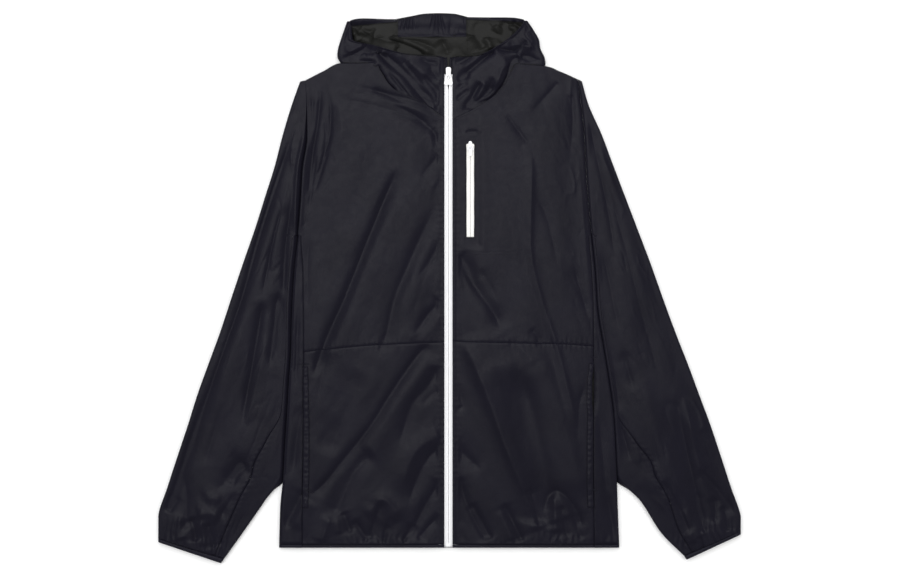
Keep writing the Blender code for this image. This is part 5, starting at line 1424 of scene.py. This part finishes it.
def bead_tree():
    """A node group that sets a small bead at each pitch along the paths it is given."""
    name = "beads along a path"
    if name in bpy.data.node_groups:
        return bpy.data.node_groups[name]
    tree = bpy.data.node_groups.new(name, "GeometryNodeTree")
    face = tree.interface
    face.new_socket("Paths", in_out="INPUT", socket_type="NodeSocketGeometry")
    for label, value in (("Pitch", 3.0), ("Length", 2.2), ("Width", 0.5), ("Height", 0.4)):
        face.new_socket(label, in_out="INPUT", socket_type="NodeSocketFloat").default_value = value * MM
    face.new_socket("Material", in_out="INPUT", socket_type="NodeSocketMaterial")
    face.new_socket("Geometry", in_out="OUTPUT", socket_type="NodeSocketGeometry")
    given = node(tree, "NodeGroupInput").outputs
    curve = node(tree, "GeometryNodeMeshToCurve", {"Mesh": given["Paths"]})
    spread = node(
        tree, "GeometryNodeResampleCurve", {"Curve": curve.outputs[0], "Length": given["Pitch"]},
        mode="LENGTH",
    )
    tangent = node(tree, "GeometryNodeInputTangent")
    turned = node(tree, "FunctionNodeAlignRotationToVector", {"Vector": tangent.outputs[0]}, axis="X")
    size = node(
        tree, "ShaderNodeCombineXYZ", {"X": given["Length"], "Y": given["Width"], "Z": given["Height"]}
    )
    bead = node(tree, "GeometryNodeMeshIcoSphere", {"Radius": 0.5, "Subdivisions": 1})
    placed = node(
        tree, "GeometryNodeInstanceOnPoints",
        {"Points": spread.outputs[0], "Instance": bead.outputs["Mesh"], "Rotation": turned.outputs[0],
         "Scale": size.outputs[0]},
    )
    real = node(tree, "GeometryNodeRealizeInstances", {"Geometry": placed.outputs[0]})
    rounded = node(tree, "GeometryNodeSetShadeSmooth", {"Geometry": real.outputs[0]})
    painted = node(
        tree, "GeometryNodeSetMaterial", {"Geometry": rounded.outputs[0], "Material": given["Material"]}
    )
    node(tree, "NodeGroupOutput", {"Geometry": painted.outputs[0]})
    return tree


def repeated(name, paths, material, pitch, length, width, height):
    """Beads along paths, which are lists of places in millimetres, as one plain mesh."""
    vertices, edges = [], []
    for path in paths:
        first = len(vertices)
        vertices += [tuple(float(c) * MM for c in spot) for spot in path]
        edges += [(k, k + 1) for k in range(first, len(vertices) - 1)]
    guide = bpy.data.meshes.new(name + "_guide")
    guide.from_pydata(vertices, edges, [])
    holder = bpy.data.objects.new(name + "_guide", guide)
    bpy.context.scene.collection.objects.link(holder)
    tree = bead_tree()
    modifier = holder.modifiers.new("beads", "NODES")
    modifier.node_group = tree
    values = {"Pitch": pitch, "Length": length, "Width": width, "Height": height, "Material": material}
    for item in tree.interface.items_tree:
        if item.in_out == "INPUT" and item.name in values:
            value = values[item.name]
            modifier[item.identifier] = value if item.name == "Material" else value * MM
    graph = bpy.context.evaluated_depsgraph_get()
    mesh = bpy.data.meshes.new_from_object(holder.evaluated_get(graph), depsgraph=graph)
    holder.modifiers.remove(modifier)
    bpy.data.objects.remove(holder)
    bpy.data.meshes.remove(guide)
    if not mesh.polygons:
        raise RuntimeError(f"{name} came out empty")
    mesh.name = name
    mesh.materials.clear()
    return new_piece(name, mesh, [material], [])


def sewn(name, paths):
    """Rows of lockstitch in the shell's thread."""
    pitch = looks().stitch_pitch / MM
    return repeated(name, paths, thread(), pitch, 0.72 * pitch, 0.55, 0.4)


def on_front(x, y, over=STITCH_OVER):
    """A path over the front's outer face."""
    x, y = np.broadcast_arrays(np.asarray(x, float), np.asarray(y, float))
    return stack(x, y, front_height(x, y) + over)


def on_sleeve(side, down, distance):
    """A path over a sleeve's outer face."""
    x, y = sleeve_place(side, down, distance)
    return stack(x, y, sleeve_height(side, down, distance) + STITCH_OVER)


def sewing_paths():
    """Seam stitching on the body and the sleeves."""
    paths = []
    for side in OUT:
        out = OUT[side]
        zip_x = ZIP_CENTRE + out * (ZIP_HALF + 5.2)
        paths.append(on_front(zip_x, spaced(240.0, -78.0, 4.0)))
        paths.append(on_front(zip_x, spaced(-82.0, -368.0, 4.0)))
        across = spaced(0.25, NECKS[side].last * 0.97, 0.15)
        paths.append(on_front(*front_place(side, across, np.full(across.shape, WAIST_ROW - 0.06))))
        down = spaced(WAIST_ROW + 0.1, HEM_ROW - 0.05, 0.1)
        paths.append(on_front(SIDES[side].at(down)[2] + out * 2.2, SIDES[side].at(down)[0]))
        across = spaced(0.15, 3.9, 0.1)
        paths.append(on_front(*front_place(side, across, np.full(across.shape, 0.08))))
        down = spaced(0.5, UNDERARM_ROW - 0.1, 0.1)
        paths.append(on_front(SIDES[side].at(down)[1] - out * 2.6, SIDES[side].at(down)[0]))
        hem_x = spaced(ZIP_CENTRE + out * 9.0, out * 206.0, 3.0)
        paths.append(on_front(hem_x, SIDE[side][HEM_ROW][0] + 1.6))
        down = spaced(WELT_ROWS[0] + 0.1, WELT_ROWS[1] - 0.1, 0.1)
        paths.append(on_front(*lower_place(side, WELT_START - 0.004, down)))
        down = spaced(UNDER_SLEEVE_ROW + 0.6, SLEEVES[side].last - 0.05, 0.1)
        width, front = sleeve_measures(side, down)[:2]
        paths.append(on_sleeve(side, down, width - front - 2.2))
        low = SLEEVES[side].last - 0.05
        width = sleeve_measures(side, low)[0]
        paths.append(on_sleeve(side, low, spaced(4.0, width - 4.0, 3.0)))
    return paths


def pocket_paths():
    """Stitching of the chest pocket: the rows that hold its bag, and the surround of its zip."""
    paths = [on_front(spaced(BAG_RIGHT, BAG_LEFT, 3.0), row) for row in BAG_ROWS]
    top, foot = CHEST_TOP + 6.0, CHEST_FOOT - 2.0
    for x in (CHEST_X - SURROUND, CHEST_X + SURROUND):
        paths.append(on_front(x, spaced(top, foot, 3.0)))
    for y in (top, foot):
        paths.append(on_front(spaced(CHEST_X - SURROUND, CHEST_X + SURROUND, 2.0), y))
    return paths


def tack_paths():
    """The bartacks: dense rows of stitches at the ends of the hand pockets."""
    paths = []
    for tack in TACKS:
        x = spaced(tack.x - tack.half, tack.x + tack.half, 0.8)
        y = tack.y + tack.lean * spaced(-tack.half, tack.half, 0.8)
        paths.append(on_front(x, y, TACK_OVER))
    return paths


def hood_paths():
    """Stitching round the hood's mouth and along the facing inside its brim."""
    lift = np.array([0.0, 0.0, 0.25])
    facing = facing_places()
    rows = [hood_side_places(side)[4:52, 4] for side in OUT]
    return [row + lift for row in (*rows, facing[2], facing[-3])]


# Hard pieces of the zips.


def plate(name, outline, low, high, hole=()):
    """A plate between two heights from a closed outline in millimetres, with a hole or without."""
    count, ring = len(outline), [*outline, *hole]
    top = len(ring)
    vertices = [(x, y, z) for z in (low, high) for x, y in ring]
    if hole:
        faces = [(k, (k + 1) % count, count + (k + 1) % count, count + k) for k in range(count)]
    else:
        faces = [tuple(range(count))]
    sides = [face[::-1] for face in faces] + [tuple(k + top for k in face) for face in faces]
    for start in range(0, top, count):
        turn = -1 if start else 1
        for k in range(count):
            a, b = start + k, start + (k + 1) % count
            sides.append((a, b, b + top, a + top)[::turn])
    mesh = bpy.data.meshes.new(name)
    mesh.from_pydata([tuple(c * MM for c in spot) for spot in vertices], [], sides)
    mesh.shade_smooth()
    return mesh


def rounded_outline(x, start, end, half_start, half_end, corner, steps=6):
    """A tapered outline with round corners, anticlockwise."""
    spots = []
    if end < start:
        start, end, half_start, half_end = end, start, half_end, half_start
    corners = [
        (x + half_start, start, -90), (x + half_end, end, 0), (x - half_end, end, 90),
        (x - half_start, start, 180),
    ]
    for corner_x, corner_y, angle in corners:
        centre_x = corner_x - math.copysign(corner, corner_x - x)
        centre_y = corner_y - math.copysign(corner, corner_y - (start + end) / 2)
        for k in range(steps + 1):
            turn = math.radians(angle + 90 * k / steps)
            spots.append((centre_x + corner * math.cos(turn), centre_y + corner * math.sin(turn)))
    return spots


def hard_piece(name, mesh, bevel, material, nodes, body="jacket"):
    """A cast or moulded piece with its edges rounded."""
    made = new_piece(name, mesh, [material], nodes, body)
    edges = made.modifiers.new("edges", "BEVEL")
    edges.width = bevel * MM
    edges.segments = 3
    edges.limit_method = "ANGLE"
    edges.angle_limit = math.radians(40)


def zip_tapes():
    """Both halves of the front zip's tape, white up to the slider's top and navy above it."""
    for side, towards in OUT.items():
        name = f"zip_tape_{side}_woven"
        mesh = grid_mesh(name, tape_places(towards), turned=towards > 0)
        made = new_piece(name, mesh, [zip_tape(), taffeta()], [f"zip_tape_{side}"])
        for face in mesh.polygons:
            face.material_index = int(face.center.y > SLIDER_TOP * MM)
        thicken(made, TAPE_WALL * MM)


def front_coil():
    """The front zip's two rows of coil, which lock into each other halfway."""
    split = np.array(ZIP_SPLIT)[::-1]
    paths = []
    for towards in (-1, 1):
        y = spaced(TAPE_FOOT + 1, SLIDER_TOP + 2.0, 6.0) + 0.7 * towards
        apart = np.interp(y, split[:, 1], split[:, 0])
        paths.append(stack(ZIP_CENTRE + towards * (apart + 0.9), y, COIL_MIDDLE))
    return repeated("zip_coil_wound", paths, coil_plastic(), 1.5, 0.9, 2.6, 0.9)


def small_plates(x, parts):
    """The bail of a slider, and what else holds it together."""
    for part in parts:
        outline = rounded_outline(x, part.start, part.end, part.half, part.half, 0.3, 3)
        hard_piece(part.name, plate(part.name, outline, part.low, part.high), 0.15, enamel(), [])


def front_slider():
    """The front zip's slider, wider at its top."""
    name = "zip_slider_cast"
    outline = rounded_outline(ZIP_CENTRE, SLIDER_TOP - 14.0, SLIDER_TOP, 6.3, 4.8, 2.2)
    hard_piece(name, plate(name, outline, 4.0, 5.4), 0.4, enamel(), ["zip_slider"])
    small_plates(ZIP_CENTRE, SLIDER_PARTS)


def pull(name, x, axis, towards, width, length, solid):
    """A pull tab that turns on the slider's bail: round at its tip, with a slot for the bail."""
    axis_y, axis_z = axis
    start, end = axis_y - towards * 0.5, axis_y + towards * length
    outline = rounded_outline(x, start, end, width / 2 - 0.4, width / 2, width * 0.36, 7)
    low, high = axis_y + towards * 0.5, axis_y + towards * PULL_SLOT
    hole = rounded_outline(x, low, high, PULL_SLOT_HALF, PULL_SLOT_HALF, 0.5, 7)
    mesh = plate(name, outline, axis_z - PULL_HALF, axis_z + PULL_HALF, hole)
    hard_piece(name, mesh, 0.2, enamel(), [solid], solid)


def chest_tapes():
    """Both halves of the chest zip's tape, flared at the top where they are cut and turned in."""
    y = spaced(CHEST_TOP, CHEST_FOOT, 2.2)[:, None]
    part = np.array([0, 0.1, 0.22, 0.34, 0.5, 0.75, 1.0])[None, :]
    flare = 0.6 * smooth((y - (CHEST_TOP - 9)) / 7) - 1.0 * smooth((y - (CHEST_TOP - 1.5)) / 1.5)
    off = between(0.15, CHEST_HALF + flare + 0.12 * np.sin(y / 7.0), part)
    bead = 0.45 * np.exp(-(((off - 1.1) / 0.8) ** 2)) - 0.15 * np.exp(-(((off - 2.6) / 0.6) ** 2))
    z = LAY + 1.3 + bead - 0.5 * (part > 0.95)
    for side, towards in OUT.items():
        name = f"chest_zip_tape_{side}_woven"
        mesh = grid_mesh(name, stack(CHEST_X + towards * off, y, z), turned=towards > 0)
        made = new_piece(name, mesh, [zip_tape(warm=True)], [f"chest_zip_tape_{side}"])
        thicken(made, CHEST_WALL * MM)


def chest_slider():
    """The chest zip's slider, narrower at its top."""
    name, end = "chest_slider_cast", CHEST_TOP - SEAM
    outline = rounded_outline(CHEST_X, end - 9.5, end + 4.0, 5.0, 2.4, 1.9)
    hard_piece(name, plate(name, outline, 6.6, 7.8), 0.35, enamel(), ["chest_zip_slider"])
    small_plates(CHEST_X, CHEST_SLIDER_PARTS)


# Operators, one for each piece or group.


class WINDBREAKER_OT_back(bpy.types.Operator):
    """Makes the back, which lies on the floor and wraps round both sides"""

    bl_idname = "windbreaker.back"
    bl_label = "Back"

    def execute(self, context):
        panel("back_cloth", back_places(), "back")
        return {"FINISHED"}


class WINDBREAKER_OT_fronts(bpy.types.Operator):
    """Makes the upper and lower fronts"""

    bl_idname = "windbreaker.fronts"
    bl_label = "Fronts"

    def execute(self, context):
        for side in OUT:
            for half, places in (("upper", front_upper_places), ("lower", front_lower_places)):
                name = f"front_{side}_{half}"
                panel(name + "_cloth", places(side), name, side == "left")
        return {"FINISHED"}


class WINDBREAKER_OT_pockets(bpy.types.Operator):
    """Makes the puckered bands of the hand pockets"""

    bl_idname = "windbreaker.pockets"
    bl_label = "Hand pockets"

    def execute(self, context):
        for side in OUT:
            panel(
                f"pocket_welt_{side}_cloth", welt_places(side), f"pocket_welt_{side}",
                side == "left",
            )
        return {"FINISHED"}


class WINDBREAKER_OT_sleeves(bpy.types.Operator):
    """Makes the upper and under panels of both sleeves"""

    bl_idname = "windbreaker.sleeves"
    bl_label = "Sleeves"

    def execute(self, context):
        for side in OUT:
            for half, places in (("upper", sleeve_upper_places), ("under", sleeve_under_places)):
                name = f"sleeve_{side}_{half}"
                panel(name + "_cloth", places(side), name, side == "left")
        return {"FINISHED"}


class WINDBREAKER_OT_bindings(bpy.types.Operator):
    """Makes the elastic bindings of the cuffs and the hem"""

    bl_idname = "windbreaker.bindings"
    bl_label = "Cuff and hem bindings"

    def execute(self, context):
        knit = [binding(), binding()]
        for side in OUT:
            turned = side == "left"
            panel(
                f"cuff_{side}_binding", cuff_places(side), f"cuff_{side}", turned, True, knit,
                BINDING_WALL,
            )
            panel(
                f"hem_{side}_binding", hem_front_places(side), f"hem_{side}", turned,
                False, knit, BINDING_WALL,
            )
        panel(
            "hem_back_binding", hem_back_places(), "hem_back", False, False, knit,
            BINDING_WALL,
        )
        return {"FINISHED"}


class WINDBREAKER_OT_hood(bpy.types.Operator):
    """Makes the hood's sides, its centre strip and the facing inside its brim"""

    bl_idname = "windbreaker.hood"
    bl_label = "Hood"

    def execute(self, context):
        for side in OUT:
            places = hood_side_places(side)
            made = panel(f"hood_{side}_cloth", places, f"hood_{side}", side == "left")
            turned_hem(made, places.shape[1] - 1)
        panel("hood_centre_cloth", hood_centre_places(), "hood_centre")
        panel("hood_brim_facing_cloth", facing_places(), "hood_brim_facing")
        return {"FINISHED"}


def turned_hem(made, in_row, rows=4, wide=41):
    """Shows the cloth's face on the reverse along the mouth's top edge, where the hem is turned in."""
    made.data.materials.append(taffeta())
    made.data.materials.append(taffeta())
    for row in range(rows):
        for face in range((row + 1) * in_row - wide, (row + 1) * in_row):
            made.data.polygons[face].material_index = 2


class WINDBREAKER_OT_front_zip(bpy.types.Operator):
    """Makes the front zip: its tapes, coil, slider, pull and stop"""

    bl_idname = "windbreaker.front_zip"
    bl_label = "Front zip"

    def execute(self, context):
        zip_tapes()
        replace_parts(front_coil(), "zip_coil")
        front_slider()
        pull("zip_pull_tab", ZIP_CENTRE, (303.0, 6.25), 1, 7.4, 15.5, "zip_pull")
        name, outline = "zip_stop_moulded", rounded_outline(ZIP_CENTRE, -373.0, -368.0, 3.2, 3.2, 0.8)
        hard_piece(name, plate(name, outline, 4.0, 5.4), 0.4, coil_plastic(), ["zip_stop"])
        return {"FINISHED"}


class WINDBREAKER_OT_chest_zip(bpy.types.Operator):
    """Makes the chest pocket's zip"""

    bl_idname = "windbreaker.chest_zip"
    bl_label = "Chest zip"

    def execute(self, context):
        chest_tapes()
        chest_slider()
        pull("chest_pull_tab", CHEST_X, (CHEST_SLIDER_AXIS, 8.85), -1, 5.4, 13.5, "chest_zip_pull")
        return {"FINISHED"}


class WINDBREAKER_OT_sewing(bpy.types.Operator):
    """Sews the seams: rows of stitches along the cloth"""

    bl_idname = "windbreaker.sewing"
    bl_label = "Sewing"

    def execute(self, context):
        sewn("seam_stitches", sewing_paths())
        sewn("pocket_stitches", pocket_paths())
        sewn("hood_stitches", hood_paths())
        repeated("bartacks", tack_paths(), thread(), 0.8, 0.7, 2.2, 0.7)
        return {"FINISHED"}


class WINDBREAKER_OT_stage(bpy.types.Operator):
    """Lays the floor and sets the lights, the world and the camera"""

    bl_idname = "windbreaker.stage"
    bl_label = "Stage"

    def execute(self, context):
        mesh = bpy.data.meshes.new("floor")
        corners = [(-1, -1), (1, -1), (1, 1), (-1, 1)]
        spots = [(FLOOR_HALF * x, FLOOR_HALF * y, -FLOOR_DOWN) for x, y in corners]
        mesh.from_pydata(spots, [], [(0, 1, 2, 3)])
        floor = bpy.data.objects.new("floor", mesh)
        context.scene.collection.objects.link(floor)
        paper, _, _ = new_material(
            "pale studio paper, rolled out", base_color=tint(looks().floor, 1), roughness=0.9,
            specular_ior_level=0.2,
        )
        mesh.materials.append(paper)
        for name, place, aim, size, power, glossy in LIGHTS:
            lamp = bpy.data.lights.new(name, "AREA")
            lamp.shape, lamp.size, lamp.size_y = "RECTANGLE", *size
            lamp.energy = power
            made = bpy.data.objects.new(name, lamp)
            made.location = place
            made.visible_glossy = glossy
            made.rotation_euler = (Vector(aim) - Vector(place)).to_track_quat("-Z", "Y").to_euler()
            context.scene.collection.objects.link(made)
        world = bpy.data.worlds.new("studio")
        world.use_nodes = True
        light = world.node_tree.nodes["Background"].inputs
        light["Color"].default_value, light["Strength"].default_value = (1, 1, 1, 1), WORLD
        context.scene.world = world
        context.scene.view_settings.view_transform = "Standard"
        lens = bpy.data.cameras.new("camera")
        lens.lens, lens.sensor_width = LENS, SENSOR
        camera = bpy.data.objects.new("camera", lens)
        camera.location = (CAMERA_X, 0, CAMERA_HEIGHT)
        context.scene.collection.objects.link(camera)
        context.scene.camera = camera
        return {"FINISHED"}


STEPS = (
    WINDBREAKER_OT_back, WINDBREAKER_OT_fronts, WINDBREAKER_OT_pockets, WINDBREAKER_OT_sleeves,
    WINDBREAKER_OT_bindings, WINDBREAKER_OT_hood, WINDBREAKER_OT_front_zip, WINDBREAKER_OT_chest_zip,
    WINDBREAKER_OT_sewing, WINDBREAKER_OT_stage,
)


class WINDBREAKER_PT_panel(bpy.types.Panel):
    """Lists the jacket's sizes and steps in the sidebar"""

    bl_idname = "WINDBREAKER_PT_panel"
    bl_label = "Windbreaker"
    bl_space_type = "VIEW_3D"
    bl_region_type = "UI"
    bl_category = "Windbreaker"

    def draw(self, context):
        for name in JacketLooks.__annotations__:
            self.layout.prop(context.scene.windbreaker_looks, name)
        for step in STEPS:
            self.layout.operator(step.bl_idname)


CLASSES = (JacketLooks, *STEPS, WINDBREAKER_PT_panel)


def register():
    """Adds the settings, the steps and the sidebar panel."""
    for made in CLASSES:
        bpy.utils.register_class(made)
    bpy.types.Scene.windbreaker_looks = bpy.props.PointerProperty(type=JacketLooks)


def unregister():
    """Takes them out again."""
    del bpy.types.Scene.windbreaker_looks
    for made in reversed(CLASSES):
        bpy.utils.unregister_class(made)


def main():
    """Runs every step in turn."""
    register()
    for step in STEPS:
        name = step.bl_idname.split(".")[1]
        getattr(bpy.ops.windbreaker, name)()


if __name__ == "__main__":
    main()
